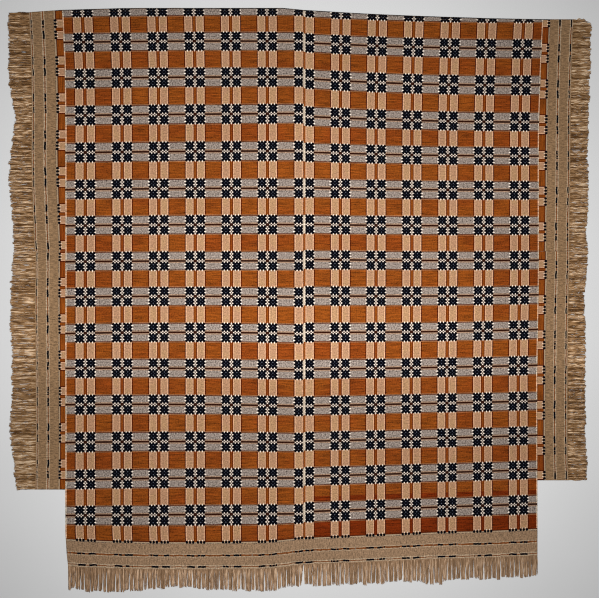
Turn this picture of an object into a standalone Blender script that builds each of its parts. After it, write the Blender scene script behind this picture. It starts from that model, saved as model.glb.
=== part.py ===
"""Woven bed coverlet, lying flat with its face up.

Two loom-width panels are sewn side by side. A fringed band, cut from the woven end of the same
cloth and pieced from two lengths, is sewn to each side. The bands stop short of the foot, which
leaves the lower corners open for the posts of a bed. The foot keeps the panels' own woven end
and fringe.

Metres, +Z up. +Y runs from the foot to the head, and z = 0 is the surface under the coverlet.
"""

import math
import random
from typing import NamedTuple

import bmesh
import bpy

# Cloth
CLOTH_THICKNESS = 0.002
SEAM_GAP = 0.0003
HEM_DEPTH = 0.012
HEM_RISE = 0.0015
HEM_RAMP = 0.003
LONGEST_CELL = 0.078

# Layout
CENTRE_SEAM_X = 0.015
BAND_JOIN_Y = 0.184
LEFT_BAND_FOOT_Y = -0.721
RIGHT_BAND_FOOT_Y = -0.686

# Fringe: each lock is a flat bundle of warp ends
LOCK_PITCH = 0.019
STRIP_WIDTH = 0.005
STRIP_HEIGHT = 0.0022
LOCK_MIDDLE_AT = 0.5
LOCK_MIDDLE_SWAY = 0.35
LOCK_MIDDLE_WIDTH = 0.0125
LOCK_MIDDLE_HEIGHT = 0.003
LOCK_TIP_WIDTH = 0.0065
LOCK_TIP_HEIGHT = 0.0018
LOCK_SHARE_OF_PITCH = 0.58
LOCK_SWAY = 0.0035
LOCK_SWAY_LENGTH = 0.37
LOCK_SWAY_SCATTER = 0.6
LOCK_RAGGED = 0.006
FRINGE_SEED = 1840

# Edges, as (place along the edge, distance out from the middle of the coverlet)
HEAD_EDGE = (
    (-1.040, 1.090),
    (-0.925, 1.099),
    (-0.652, 1.107),
    (-0.059, 1.107),
    (0.015, 1.099),
    (0.260, 1.085),
    (0.443, 1.077),
    (0.716, 1.068),
    (0.930, 1.064),
    (1.045, 1.064),
)
LEFT_SEAM = (
    (-1.020, 0.879),
    (-0.960, 0.885),
    (-0.880, 0.890),
    (0.650, 0.890),
    (0.890, 0.893),
    (1.107, 0.903),
)
RIGHT_SEAM = (
    (-0.980, 0.903),
    (-0.300, 0.902),
    (0.100, 0.908),
    (0.650, 0.908),
    (0.910, 0.917),
    (1.080, 0.926),
)
LEFT_EDGE = (
    (-0.725, 1.004),
    (-0.500, 1.002),
    (0.050, 1.005),
    (BAND_JOIN_Y - SEAM_GAP, 1.002),
    (BAND_JOIN_Y + SEAM_GAP, 1.008),
    (0.320, 1.013),
    (0.560, 1.020),
    (0.700, 1.017),
    (0.920, 1.021),
    (1.095, 1.029),
)
RIGHT_EDGE = (
    (-0.690, 1.020),
    (-0.500, 1.017),
    (-0.040, 1.020),
    (BAND_JOIN_Y - SEAM_GAP, 1.026),
    (BAND_JOIN_Y + SEAM_GAP, 1.023),
    (0.390, 1.027),
    (0.760, 1.030),
    (0.910, 1.034),
    (1.070, 1.040),
)
FOOT_EDGE = (
    (-0.880, 1.014),
    (-0.773, 1.020),
    (-0.591, 1.025),
    (-0.378, 1.026),
    (-0.112, 1.023),
    (0.025, 1.006),
    (0.192, 1.000),
    (0.534, 0.985),
    (0.713, 0.981),
    (0.904, 0.972),
)

# Tips of the fringe, in the same form
LEFT_TIPS = (
    (-0.725, 1.078),
    (-0.587, 1.092),
    (-0.496, 1.104),
    (-0.359, 1.092),
    (-0.040, 1.100),
    (0.142, 1.094),
    (0.188, 1.086),
    (0.279, 1.092),
    (0.507, 1.107),
    (0.690, 1.082),
    (0.827, 1.106),
    (1.054, 1.107),
)
RIGHT_TIPS = (
    (-0.690, 1.090),
    (-0.633, 1.092),
    (-0.496, 1.085),
    (-0.222, 1.085),
    (0.006, 1.081),
    (0.142, 1.095),
    (0.279, 1.089),
    (0.416, 1.100),
    (0.553, 1.092),
    (0.872, 1.104),
    (1.054, 1.107),
)
FOOT_TIPS = (
    (-0.880, 1.098),
    (-0.697, 1.107),
    (-0.424, 1.086),
    (-0.287, 1.103),
    (-0.104, 1.103),
    (-0.013, 1.085),
    (0.306, 1.077),
    (0.382, 1.064),
    (0.522, 1.077),
    (0.610, 1.058),
    (0.838, 1.054),
    (0.904, 1.039),
)


class Ridge(NamedTuple):
    """A low soft rise in the cloth: its middle, how far it reaches each way, and its height."""

    x: float
    y: float
    reach_x: float
    reach_y: float
    height: float


RIDGES = (
    Ridge(x=0.000, y=0.830, reach_x=0.170, reach_y=0.300, height=0.0035),
    Ridge(x=0.050, y=0.250, reach_x=0.190, reach_y=0.260, height=0.0030),
    Ridge(x=-0.010, y=-0.350, reach_x=0.180, reach_y=0.320, height=0.0030),
    Ridge(x=0.010, y=-0.860, reach_x=0.200, reach_y=0.120, height=0.0045),
    Ridge(x=-0.600, y=0.760, reach_x=0.300, reach_y=0.130, height=0.0025),
    Ridge(x=0.620, y=0.560, reach_x=0.260, reach_y=0.180, height=0.0025),
    Ridge(x=-0.560, y=-0.760, reach_x=0.320, reach_y=0.110, height=0.0030),
    Ridge(x=0.600, y=-0.640, reach_x=0.300, reach_y=0.140, height=0.0030),
    Ridge(x=-0.900, y=0.480, reach_x=0.105, reach_y=0.150, height=0.0040),
    Ridge(x=-0.900, y=-0.250, reach_x=0.095, reach_y=0.220, height=0.0035),
    Ridge(x=0.915, y=0.020, reach_x=0.095, reach_y=0.200, height=0.0040),
    Ridge(x=0.915, y=0.700, reach_x=0.105, reach_y=0.160, height=0.0035),
)


class Side(NamedTuple):
    """A fringed side: which way out is, and which way its places run."""

    out_x: float
    out_y: float

    def point(self, along, out):
        """The (x, y) of a place along this side, so far out."""
        if self.out_x:
            return self.out_x * out, along
        return along, self.out_y * out

    def place(self, x, y):
        """The (along, out) of a point, the other way round."""
        if self.out_x:
            return y, self.out_x * x
        return x, self.out_y * y


LEFT = Side(out_x=-1.0, out_y=0.0)
RIGHT = Side(out_x=1.0, out_y=0.0)
FOOT = Side(out_x=0.0, out_y=-1.0)

RUST = (0.250, 0.090, 0.030, 1.0)
RUST_LIGHT = (0.290, 0.110, 0.036, 1.0)
TAN = (0.265, 0.165, 0.090, 1.0)
TAN_LIGHT = (0.300, 0.190, 0.105, 1.0)
YARN = (0.330, 0.210, 0.115, 1.0)


def read(table, at):
    """The value of an edge table at a place, on straight lines between its rows."""
    rows = sorted(table)
    if at <= rows[0][0]:
        return rows[0][1]
    for (start, low), (end, high) in zip(rows, rows[1:]):
        if at <= end:
            return low + (high - low) * (at - start) / (end - start)
    return rows[-1][1]


def lift(x, y):
    """How far the underside stands off the surface, at a point."""
    total = 0.0
    for ridge in RIDGES:
        far = ((x - ridge.x) / ridge.reach_x) ** 2 + ((y - ridge.y) / ridge.reach_y) ** 2
        if far < 1.0:
            total += ridge.height * (1.0 - far) ** 2
    return total


def stations(knots, start, end, hems=()):
    """Places from start to end: both ends, the knots and hem lines between, and even steps."""
    fixed = {start, end}
    fixed.update(k for k in knots if start < k < end)
    fixed.update(hems)
    fixed = sorted(fixed)
    places = [fixed[0]]
    for low, high in zip(fixed, fixed[1:]):
        steps = max(1, math.ceil((high - low) / LONGEST_CELL))
        places += [low + (high - low) * (i + 1) / steps for i in range(steps)]
    return places


def material(name, color, roughness):
    """A plain cloth material."""
    made = bpy.data.materials.new(name)
    made.use_nodes = True
    shader = made.node_tree.nodes["Principled BSDF"]
    shader.inputs["Base Color"].default_value = color
    shader.inputs["Roughness"].default_value = roughness
    shader.inputs["Metallic"].default_value = 0.0
    made.diffuse_color = color
    return made


def add_object(name, bm, cloth):
    """Makes a bmesh into a named object with its material, faces outwards."""
    bmesh.ops.recalc_face_normals(bm, faces=bm.faces)
    mesh = bpy.data.meshes.new(name)
    bm.to_mesh(mesh)
    bm.free()
    mesh.materials.append(cloth)
    obj = bpy.data.objects.new(name, mesh)
    bpy.data.collections["coverlet"].objects.link(obj)
    return obj


def new_points(made):
    """The vertices among what a bmesh operator made."""
    return [v for v in made["geom"] if isinstance(v, bmesh.types.BMVert)]


def hem_share(inward):
    """1 on a turned hem, 0 on single cloth, and between the two on the ramp beside the hem."""
    return min(1.0, max(0.0, (HEM_DEPTH + HEM_RAMP - inward) / HEM_RAMP))


def woven_piece(name, left_side, right_side, head, foot, hem_at_head, cloth):
    """A woven piece between two side lines, with a turned hem at its head or at its foot.

    left_side and right_side are equally long lists of (x, y) from foot to head. head and foot
    give y at an x. The rows run from side to side and bend to meet the head and foot lines.
    Returns the points of the foot line.
    """
    def thickness(x, y):
        inward = head(x) - y if hem_at_head else y - foot(x)
        return CLOTH_THICKNESS + HEM_RISE * hem_share(inward)

    width = right_side[0][0] - left_side[0][0]
    columns = max(2, math.ceil(width / LONGEST_CELL))
    rows = len(left_side) - 1
    bm = bmesh.new()
    bmesh.ops.create_grid(bm, x_segments=columns, y_segments=rows, size=0.5)
    low_y, high_y = left_side[0][1], left_side[-1][1]
    foot_line = []
    for vert in bm.verts:
        across = vert.co.x + 0.5
        row = round((vert.co.y + 0.5) * rows)
        (left_x, left_y), (right_x, right_y) = left_side[row], right_side[row]
        x = left_x + (right_x - left_x) * across
        up = (left_y - low_y) / (high_y - low_y)
        head_chord = left_side[-1][1] + (right_side[-1][1] - left_side[-1][1]) * across
        foot_chord = left_side[0][1] + (right_side[0][1] - left_side[0][1]) * across
        y = left_y + (right_y - left_y) * across
        y += up * (head(x) - head_chord) + (1.0 - up) * (foot(x) - foot_chord)
        vert.co = (x, y, lift(x, y))
        if row == 0:
            foot_line.append((x, y))
    raised = bmesh.ops.extrude_face_region(bm, geom=bm.faces[:])
    for vert in new_points(raised):
        vert.co.z += thickness(vert.co.x, vert.co.y)
    add_object(name, bm, cloth)
    return foot_line


def side_line(xs_at, ys):
    """A side of a piece, as points at each height."""
    return [(xs_at(y), y) for y in ys]


def spread(ys, start, end):
    """The same steps as ys, stretched to run from start to end."""
    low, high = ys[0], ys[-1]
    return [start + (end - start) * (y - low) / (high - low) for y in ys]


def head_y(x):
    """The head edge at an x."""
    return read(HEAD_EDGE, x)


def foot_y(x):
    """The woven foot edge, where the fringe starts, at an x."""
    return -read(FOOT_EDGE, x)


def level(y):
    """A straight end of a piece: the same y at every x."""
    return lambda x: y


def make_panel(name, outer_seam, side, cloth):
    """One loom-width panel, from its outer seam to the centre seam."""
    inner_x = CENTRE_SEAM_X + side.out_x * SEAM_GAP / 2

    def outer_x(y):
        return side.out_x * (read(outer_seam, y) - SEAM_GAP / 2)

    seam_foot, seam_head = outer_seam[0][0], outer_seam[-1][0]
    outer_foot, outer_head = foot_y(outer_x(seam_foot)), head_y(outer_x(seam_head))
    hem_lines = (outer_head - HEM_DEPTH - HEM_RAMP, outer_head - HEM_DEPTH)
    knots = [row[0] for row in outer_seam]
    outer_ys = stations(knots, outer_foot, outer_head, hem_lines)
    inner_ys = spread(outer_ys, foot_y(inner_x), head_y(inner_x))
    outer = side_line(outer_x, outer_ys)
    inner = side_line(lambda y: inner_x, inner_ys)
    left_side, right_side = (outer, inner) if side is LEFT else (inner, outer)
    return woven_piece(name, left_side, right_side, head_y, foot_y, True, cloth)


def make_band(name, side, seam, edge, foot_at, head_at, hem_at_head, cloth):
    """One length of a side band. foot_at and head_at give the y of its ends at an x.

    Returns the points of its outer edge.
    """
    def seam_x(y):
        return side.out_x * (read(seam, y) + SEAM_GAP / 2)

    def edge_x(y):
        return side.out_x * read(edge, y)

    middle = (foot_at(edge_x(0.0)) + head_at(edge_x(0.0))) / 2
    seam_foot, seam_head = foot_at(seam_x(middle)), head_at(seam_x(middle))
    hem_lines = [seam_foot + HEM_DEPTH, seam_foot + HEM_DEPTH + HEM_RAMP]
    if hem_at_head:
        hem_lines = [seam_head - HEM_DEPTH - HEM_RAMP, seam_head - HEM_DEPTH]
    seam_ys = stations([row[0] for row in seam], seam_foot, seam_head, hem_lines)
    edge_ys = spread(seam_ys, foot_at(edge_x(middle)), head_at(edge_x(middle)))
    inner = side_line(seam_x, seam_ys)
    outer = side_line(edge_x, edge_ys)
    left_side, right_side = (outer, inner) if side is LEFT else (inner, outer)
    woven_piece(name, left_side, right_side, head_at, foot_at, hem_at_head, cloth)
    return outer


def make_fringe(name, side, root_line, tips, rng, cloth):
    """Locks of warp ends on one narrow strip that follows the cloth's edge.

    root_line is the cloth's edge as points, and tips the table of how far the locks reach.
    """
    edge = sorted(side.place(x, y) for x, y in root_line)
    start, end = edge[0][0] + SEAM_GAP, edge[-1][0] - SEAM_GAP
    locks = round((end - start) / LOCK_PITCH)
    pitch = (end - start) / locks
    half = pitch * LOCK_SHARE_OF_PITCH / 2
    alongs = [start]
    for i in range(locks):
        middle = start + pitch * (i + 0.5)
        alongs += [middle - half, middle + half]
    alongs.append(end)

    bm = bmesh.new()
    bmesh.ops.create_grid(bm, x_segments=len(alongs) - 1, y_segments=1, size=0.5)
    for vert in bm.verts:
        along = alongs[round((vert.co.x + 0.5) * (len(alongs) - 1))]
        out = read(edge, along) + SEAM_GAP + (STRIP_WIDTH if vert.co.y > 0 else 0.0)
        vert.co = (along, out, 0.0)
    raised = bmesh.ops.extrude_face_region(bm, geom=bm.faces[:])
    bmesh.ops.translate(bm, verts=new_points(raised), vec=(0.0, 0.0, STRIP_HEIGHT))
    bmesh.ops.recalc_face_normals(bm, faces=bm.faces)
    roots = outer_cells(bm, alongs, edge)
    for face in roots:
        draw_lock(bm, face, tips, rng)
    for vert in bm.verts:
        x, y = side.point(vert.co.x, vert.co.y)
        vert.co = (x, y, vert.co.z)
    add_object(name, bm, cloth)


def outer_cells(bm, alongs, edge):
    """The strip's outer faces that a lock grows from: every second one, in order."""
    outer = []
    for face in bm.faces:
        spans = {round(v.co.x, 6) for v in face.verts}
        on_rim = all(v.co.y > read(edge, v.co.x) + STRIP_WIDTH / 2 for v in face.verts)
        if on_rim and len(spans) == 2:
            outer.append(face)
    outer.sort(key=lambda f: f.calc_center_median().x)
    return outer[1::2]


def draw_lock(bm, face, tips, rng):
    """Grows one tapering lock out of a strip's face, level on the surface."""
    centre = face.calc_center_median()
    root_along, root_out = centre.x, centre.y
    reach = read(tips, root_along) - rng.random() ** 2 * LOCK_RAGGED
    wave = math.sin(math.tau * root_along / LOCK_SWAY_LENGTH)
    sway = LOCK_SWAY * (wave + (rng.random() - 0.5) * LOCK_SWAY_SCATTER)
    sections = (
        (LOCK_MIDDLE_AT, LOCK_MIDDLE_SWAY * sway, LOCK_MIDDLE_WIDTH, LOCK_MIDDLE_HEIGHT),
        (1.0, sway, LOCK_TIP_WIDTH, LOCK_TIP_HEIGHT),
    )
    for share, shift, width, height in sections:
        face = bmesh.ops.extrude_discrete_faces(bm, faces=[face])["faces"][0]
        middle = face.calc_center_median()
        out = root_out + (reach - root_out) * share
        for vert in face.verts:
            along_way = 1.0 if vert.co.x > middle.x else -1.0
            level = height if vert.co.z > middle.z else 0.0
            vert.co = (root_along + shift + along_way * width / 2, out, level)


def clear_scene():
    """Removes every object, and starts the coverlet's collection."""
    for obj in list(bpy.data.objects):
        bpy.data.objects.remove(obj, do_unlink=True)
    collection = bpy.data.collections.new("coverlet")
    bpy.context.scene.collection.children.link(collection)


def centre_on_surface():
    """Moves the meshes so that the middle of the whole coverlet's box is at x = 0, y = 0."""
    objects = bpy.data.collections["coverlet"].objects
    xs = [v.co.x for obj in objects for v in obj.data.vertices]
    ys = [v.co.y for obj in objects for v in obj.data.vertices]
    shift_x, shift_y = -(min(xs) + max(xs)) / 2, -(min(ys) + max(ys)) / 2
    for obj in objects:
        for vert in obj.data.vertices:
            vert.co.x += shift_x
            vert.co.y += shift_y


def main():
    """Builds the coverlet, piece by piece."""
    clear_scene()
    rng = random.Random(FRINGE_SEED)
    rust = material("panel_cloth", RUST, 0.9)
    rust_light = material("panel_cloth_light", RUST_LIGHT, 0.9)
    tan = material("band_cloth", TAN, 0.9)
    tan_light = material("band_cloth_light", TAN_LIGHT, 0.9)
    yarn = material("fringe_yarn", YARN, 0.95)

    foot_left = make_panel("panel_left", LEFT_SEAM, LEFT, rust)
    foot_right = make_panel("panel_right", RIGHT_SEAM, RIGHT, rust_light)
    bands = (
        ("left", LEFT, LEFT_SEAM, LEFT_EDGE, LEFT_TIPS, LEFT_BAND_FOOT_Y),
        ("right", RIGHT, RIGHT_SEAM, RIGHT_EDGE, RIGHT_TIPS, RIGHT_BAND_FOOT_Y),
    )
    for name, side, seam, edge, tips, foot in bands:
        lengths = (
            ("upper", level(BAND_JOIN_Y + SEAM_GAP / 2), head_y, True, tan),
            ("lower", level(foot), level(BAND_JOIN_Y - SEAM_GAP / 2), False, tan_light),
        )
        for length, foot_at, head_at, hem_at_head, cloth in lengths:
            place = name + "_" + length
            outer = make_band("band_" + place, side, seam, edge, foot_at, head_at, hem_at_head, cloth)
            make_fringe("fringe_" + place, side, outer, tips, rng, yarn)
    make_fringe("fringe_foot_left", FOOT, foot_left, FOOT_TIPS, rng, yarn)
    make_fringe("fringe_foot_right", FOOT, foot_right, FOOT_TIPS, rng, yarn)
    centre_on_surface()


main()
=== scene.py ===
"""A woven double-cloth coverlet laid flat, face up: its cloth, fringe, sewing and setting.

The cloth is drawn in blocks. One block is four threads of each of its two layers. Every woven
piece carries a UV map named "blocks": U counts blocks across the loom, and V counts blocks down
the length that was woven. The materials work the pattern out from that map, so it follows the
cloth wherever the weaver's beat or the sewing bent it.
"""

import logging
import math
from dataclasses import astuple, dataclass, field, replace
from enum import Enum
from typing import Any, Iterator, Mapping, Sequence

import bmesh
import bpy
import numpy as np
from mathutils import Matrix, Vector
from mathutils.bvhtree import BVHTree


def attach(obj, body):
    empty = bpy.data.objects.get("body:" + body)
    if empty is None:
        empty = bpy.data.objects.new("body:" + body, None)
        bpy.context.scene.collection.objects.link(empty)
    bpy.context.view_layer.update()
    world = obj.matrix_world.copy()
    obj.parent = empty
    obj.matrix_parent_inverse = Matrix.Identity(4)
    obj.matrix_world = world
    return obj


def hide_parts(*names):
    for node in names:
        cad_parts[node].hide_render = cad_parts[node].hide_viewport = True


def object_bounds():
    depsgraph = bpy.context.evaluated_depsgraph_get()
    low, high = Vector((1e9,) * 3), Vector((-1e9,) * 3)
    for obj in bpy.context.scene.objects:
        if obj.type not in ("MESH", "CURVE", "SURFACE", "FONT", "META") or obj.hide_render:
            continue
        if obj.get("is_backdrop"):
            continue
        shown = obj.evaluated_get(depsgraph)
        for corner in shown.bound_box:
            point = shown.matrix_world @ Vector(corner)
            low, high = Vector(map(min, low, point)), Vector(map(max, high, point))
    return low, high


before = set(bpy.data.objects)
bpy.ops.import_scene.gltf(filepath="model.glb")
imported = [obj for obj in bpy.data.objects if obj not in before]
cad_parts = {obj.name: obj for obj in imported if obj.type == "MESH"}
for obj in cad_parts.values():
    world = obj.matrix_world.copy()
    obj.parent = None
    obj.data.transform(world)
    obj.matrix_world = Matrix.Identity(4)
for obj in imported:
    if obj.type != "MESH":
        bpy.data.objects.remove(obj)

CAD_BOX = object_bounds()
BODY = "root"
MAP_NAME = "blocks"
LOG = logging.getLogger("coverlet")
CREST_SPREAD, USUAL_PEAK = (0.6, 1.7), 5.0
SHARP_ANGLE = math.radians(50.0)

Colour = tuple[float, float, float, float]
Pair = tuple[float, float]
Grid = np.ndarray
Node, Socket, Mesh = bpy.types.Node, bpy.types.NodeSocket, bpy.types.Mesh
Material, Piece = bpy.types.Material, bpy.types.Object
SOCKETS = {
    float: "NodeSocketFloat",
    int: "NodeSocketInt",
    tuple: "NodeSocketColor",
    Vector: "NodeSocketVector",
    Material: "NodeSocketMaterial",
    Mesh: "NodeSocketGeometry",
}


def rgb(red: float, green: float, blue: float) -> Colour:
    """A linear colour with no transparency."""
    return (red, green, blue, 1.0)


class Side(Enum):
    """A side of the coverlet, as the direction that points out of it."""

    LEFT = (-1.0, 0.0)
    RIGHT = (1.0, 0.0)
    FOOT = (0.0, -1.0)

    @property
    def out(self) -> Vector:
        """The direction out of the coverlet."""
        return Vector((*self.value, 0.0))

    @property
    def along(self) -> Vector:
        """The direction along the edge, towards +X or +Y."""
        return Vector((abs(self.value[1]), abs(self.value[0]), 0.0))


@dataclass(frozen=True)
class Draft:
    """The weaver's plan, in blocks.

    Stars stand in pairs, with a narrow gap inside a pair and a wide block between pairs. Places
    are counted from the middle of a gap. The length ends in a last wide row, a row of dots and
    a plain tan end with two fine lines.
    """

    star: float = 5.0
    gap_across: float = 2.0
    gap_down: float = 1.7
    wide: float = 11.0
    pairs_down: int = 13
    last_wide: float = 8.6
    dots: float = 1.0
    first_line: float = 8.2
    second_line: float = 15.7
    plain_end: float = 17.3
    threads: float = 4.0

    @property
    def across(self) -> float:
        """Blocks from one pair to the next across the loom."""
        return 2 * self.star + self.gap_across + self.wide

    @property
    def down(self) -> float:
        """Blocks from one pair to the next down the length."""
        return 2 * self.star + self.gap_down + self.wide

    @property
    def end(self) -> float:
        """The V where the pattern ends and the plain tan end starts."""
        return self.pairs_down * self.down + self.gap_down / 2 + self.star + self.last_wide + self.dots


DRAFT = Draft()


class Nodes:
    """Adds nodes to a tree, sets or links their inputs by name, and reads their outputs."""

    def __init__(self, tree: bpy.types.NodeTree) -> None:
        """Starts with the tree that the nodes go in."""
        self.tree = tree

    def add(self, kind: str, inputs: Mapping[Any, Any] | None = None, **settings: Any) -> Node:
        """Adds one node.

        Args:
            kind: The node's type name.
            inputs: Values, terms or sockets by input name or number.
            settings: Properties of the node itself, set first.

        Returns:
            The new node.
        """
        node = self.tree.nodes.new(kind)
        for name, value in settings.items():
            setattr(node, name, value)
        for name, value in (inputs or {}).items():
            self.feed(node.inputs[name] if isinstance(name, int) else self.input(node, name), value)
        return node

    def feed(self, slot: Socket, value: Any) -> None:
        """Links a term or socket to an input, or sets the input's value.

        Args:
            slot: The input.
            value: The term, socket or value.
        """
        if isinstance(value, Term):
            value = value.socket
        if isinstance(value, Socket):
            self.tree.links.new(value, slot)
        else:
            slot.default_value = value

    @staticmethod
    def input(node: Node, name: str) -> Socket:
        """The input in use of that name."""
        return next(s for s in node.inputs if s.name == name and s.enabled)

    def term(self, node: Node, name: str = "") -> "Term":
        """The output in use of that name, or the first one in use, as a term."""
        return Term(self, next(s for s in node.outputs if s.enabled and name in ("", s.name)))

    def noise(self, place: Any, scale: float = 1.0, detail: float = 1.0) -> "Term":
        """Smooth noise from 0 to 1 at a place."""
        node = self.add("ShaderNodeTexNoise", {"Vector": place, "Scale": scale, "Detail": detail})
        return self.term(node, "Fac" if "Fac" in node.outputs else "Factor")

    def uneven(self, place: Any, scale: float = 1.0, detail: float = 1.0) -> "Term":
        """Smooth noise about zero at a place."""
        return self.noise(place, scale, detail) - 0.5

    def vector(self, x: Any = 0.0, y: Any = 0.0, z: Any = 0.0) -> Socket:
        """Three numbers as a vector."""
        return self.add("ShaderNodeCombineXYZ", {"X": x, "Y": y, "Z": z}).outputs[0]

    def vectors(self, operation: str, one: Any, other: Any) -> Node:
        """A Vector Math node on two vectors."""
        return self.add("ShaderNodeVectorMath", {0: one, 1: other}, operation=operation)

    def paint(self, under: Any, mask: "Term", over: Any) -> Socket:
        """Lays one colour over another where the mask is 1."""
        node = self.add("ShaderNodeMix", {"Factor": mask, "A": under, "B": over}, data_type="RGBA")
        return self.term(node, "Result").socket


class Term:
    """A number worked out by nodes. Plain arithmetic joins terms into further nodes."""

    def __init__(self, nodes: Nodes, socket: Socket) -> None:
        """Wraps an output of a node."""
        self.nodes, self.socket = nodes, socket

    def join(self, operation: str, *others: "Term | float") -> "Term":
        """A Math node on this term and others."""
        inputs = dict(enumerate((self, *others)))
        return Term(self.nodes, self.nodes.add("ShaderNodeMath", inputs, operation=operation).outputs[0])

    def __add__(self, other: "Term | float") -> "Term":
        """The sum."""
        return self.join("ADD", other)

    def __sub__(self, other: "Term | float") -> "Term":
        """The difference."""
        return self.join("SUBTRACT", other)

    def __mul__(self, other: "Term | float") -> "Term":
        """The product, which is also "and" for masks."""
        return self.join("MULTIPLY", other)

    def __truediv__(self, other: "Term | float") -> "Term":
        """The quotient."""
        return self.join("DIVIDE", other)

    def either(self, *others: "Term") -> "Term":
        """The largest, which is "or" for masks.

        Args:
            others: The terms to compare this one with.

        Returns:
            The largest at each point.
        """
        result = self
        for other in others:
            result = result.join("MAXIMUM", other)
        return result

    def without(self, other: "Term") -> "Term":
        """This mask where the other one isn't."""
        return self * other.opposite()

    def opposite(self) -> "Term":
        """One minus this."""
        return self * -1.0 + 1.0

    def above(self, edge: "Term | float") -> "Term":
        """1 where this is more than the edge."""
        return self.join("GREATER_THAN", edge)

    def below(self, edge: "Term | float") -> "Term":
        """1 where this is less than the edge."""
        return self.join("LESS_THAN", edge)

    def between(self, low: float, high: float) -> "Term":
        """1 where this is from low to high."""
        return self.above(low) * self.below(high)

    def near(self, place: float) -> "Term":
        """The distance from a place."""
        return (self - place).join("ABSOLUTE")

    def floor(self) -> "Term":
        """Rounded down."""
        return self.join("FLOOR")

    def part(self) -> "Term":
        """What is left over the whole number."""
        return self.join("FRACT")

    def swing(self, half: float) -> "Term":
        """A triangle wave: the distance from the nearest multiple of twice the half."""
        return self.join("PINGPONG", half)

    def odd(self) -> "Term":
        """1 on odd whole numbers and 0 on even ones."""
        return self.join("FLOORED_MODULO", 2.0).above(0.5)

    def ramp(self, low: float, high: float, start: float = 0.0, end: float = 1.0) -> "Term":
        """A smooth change from one value to another.

        Args:
            low: Where the change starts.
            high: Where it ends.
            start: The value up to there.
            end: The value from there on.

        Returns:
            The changing value.
        """
        inputs = {"Value": self, "From Min": low, "From Max": high, "To Min": start, "To Max": end}
        node = self.nodes.add("ShaderNodeMapRange", inputs, interpolation_type="SMOOTHSTEP")
        return self.nodes.term(node)


class Group(Nodes):
    """The nodes of a new node group, with the group's inputs by name."""

    def __init__(
        self,
        name: str,
        tree: str,
        inputs: Mapping[str, Any],
        outputs: Mapping[str, type],
    ) -> None:
        """Starts the group.

        Args:
            name: The group's name.
            tree: The type name of its tree.
            inputs: Each input's kind or its default value, by name.
            outputs: Each output's kind, by name.
        """
        super().__init__(bpy.data.node_groups.new(name, tree))
        for label, value in inputs.items():
            kind = value if isinstance(value, type) else type(value)
            socket = self.tree.interface.new_socket(name=label, in_out="INPUT", socket_type=SOCKETS[kind])
            if kind is not value:
                socket.default_value = value
        for label, kind in outputs.items():
            self.tree.interface.new_socket(name=label, in_out="OUTPUT", socket_type=SOCKETS[kind])
        given, numbers = self.add("NodeGroupInput"), ("VALUE", "INT")
        found = {label: given.outputs[label] for label in inputs}
        self.given = {label: Term(self, s) if s.type in numbers else s for label, s in found.items()}


@dataclass(frozen=True)
class Palette:
    """The colours that a face of the cloth shows, each by the place where it shows."""

    star: Colour = rgb(0.0018, 0.0018, 0.0042)
    glint: Colour = rgb(0.11, 0.13, 0.17)
    cream: Colour = rgb(0.95, 0.83, 0.71)
    lattice: Colour = rgb(0.20, 0.145, 0.11)
    spot: Colour = rgb(0.10, 0.075, 0.065)
    rust: Colour = rgb(0.262, 0.063, 0.0072)
    rust_red: Colour = rgb(0.242, 0.049, 0.0062)
    rust_late: Colour = rgb(0.180, 0.024, 0.0026)
    rust_edge: Colour = rgb(0.092, 0.013, 0.0018)
    rim: Colour = rgb(0.30, 0.135, 0.060)
    tan: Colour = rgb(0.475, 0.258, 0.146)
    tan_gold: Colour = rgb(0.485, 0.276, 0.142)
    tan_edge: Colour = rgb(0.74, 0.42, 0.25)
    grey: Colour = rgb(0.308, 0.247, 0.209)
    peach: Colour = rgb(0.37, 0.235, 0.155)
    line: Colour = rgb(0.030, 0.006, 0.002)
    pinstripe: Colour = rgb(0.225, 0.072, 0.020)
    seam: Colour = rgb(0.68, 0.56, 0.43)
    selvedge: Colour = rgb(0.85, 0.51, 0.32)
    # Painted shadow: the dark line along the folded hem's edge.
    fold: Colour = rgb(0.020, 0.012, 0.008)
    end: Colour = rgb(0.315, 0.188, 0.097)
    end_light: Colour = rgb(0.46, 0.33, 0.21)
    line_edge: Colour = rgb(0.50, 0.365, 0.24)


FRONT = Palette()
BACK = Palette(
    star=rgb(0.27, 0.24, 0.21),
    glint=rgb(0.20, 0.18, 0.16),
    cream=rgb(0.010, 0.010, 0.016),
    lattice=rgb(0.06, 0.05, 0.05),
    spot=rgb(0.12, 0.10, 0.09),
    rust=rgb(0.40, 0.24, 0.14),
    rust_red=rgb(0.36, 0.21, 0.13),
    rust_late=rgb(0.36, 0.21, 0.13),
    rust_edge=rgb(0.52, 0.34, 0.22),
    rim=rgb(0.30, 0.18, 0.11),
    tan=rgb(0.060, 0.021, 0.014),
    tan_gold=rgb(0.064, 0.026, 0.012),
    tan_edge=rgb(0.028, 0.011, 0.009),
    grey=rgb(0.056, 0.024, 0.020),
    peach=rgb(0.105, 0.026, 0.010),
    line=rgb(0.40, 0.29, 0.20),
    pinstripe=rgb(0.30, 0.17, 0.09),
    seam=rgb(0.20, 0.16, 0.13),
    selvedge=rgb(0.30, 0.20, 0.14),
    # Painted shadow along the folded hem's edge, on the reverse.
    fold=rgb(0.10, 0.07, 0.05),
)


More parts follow.
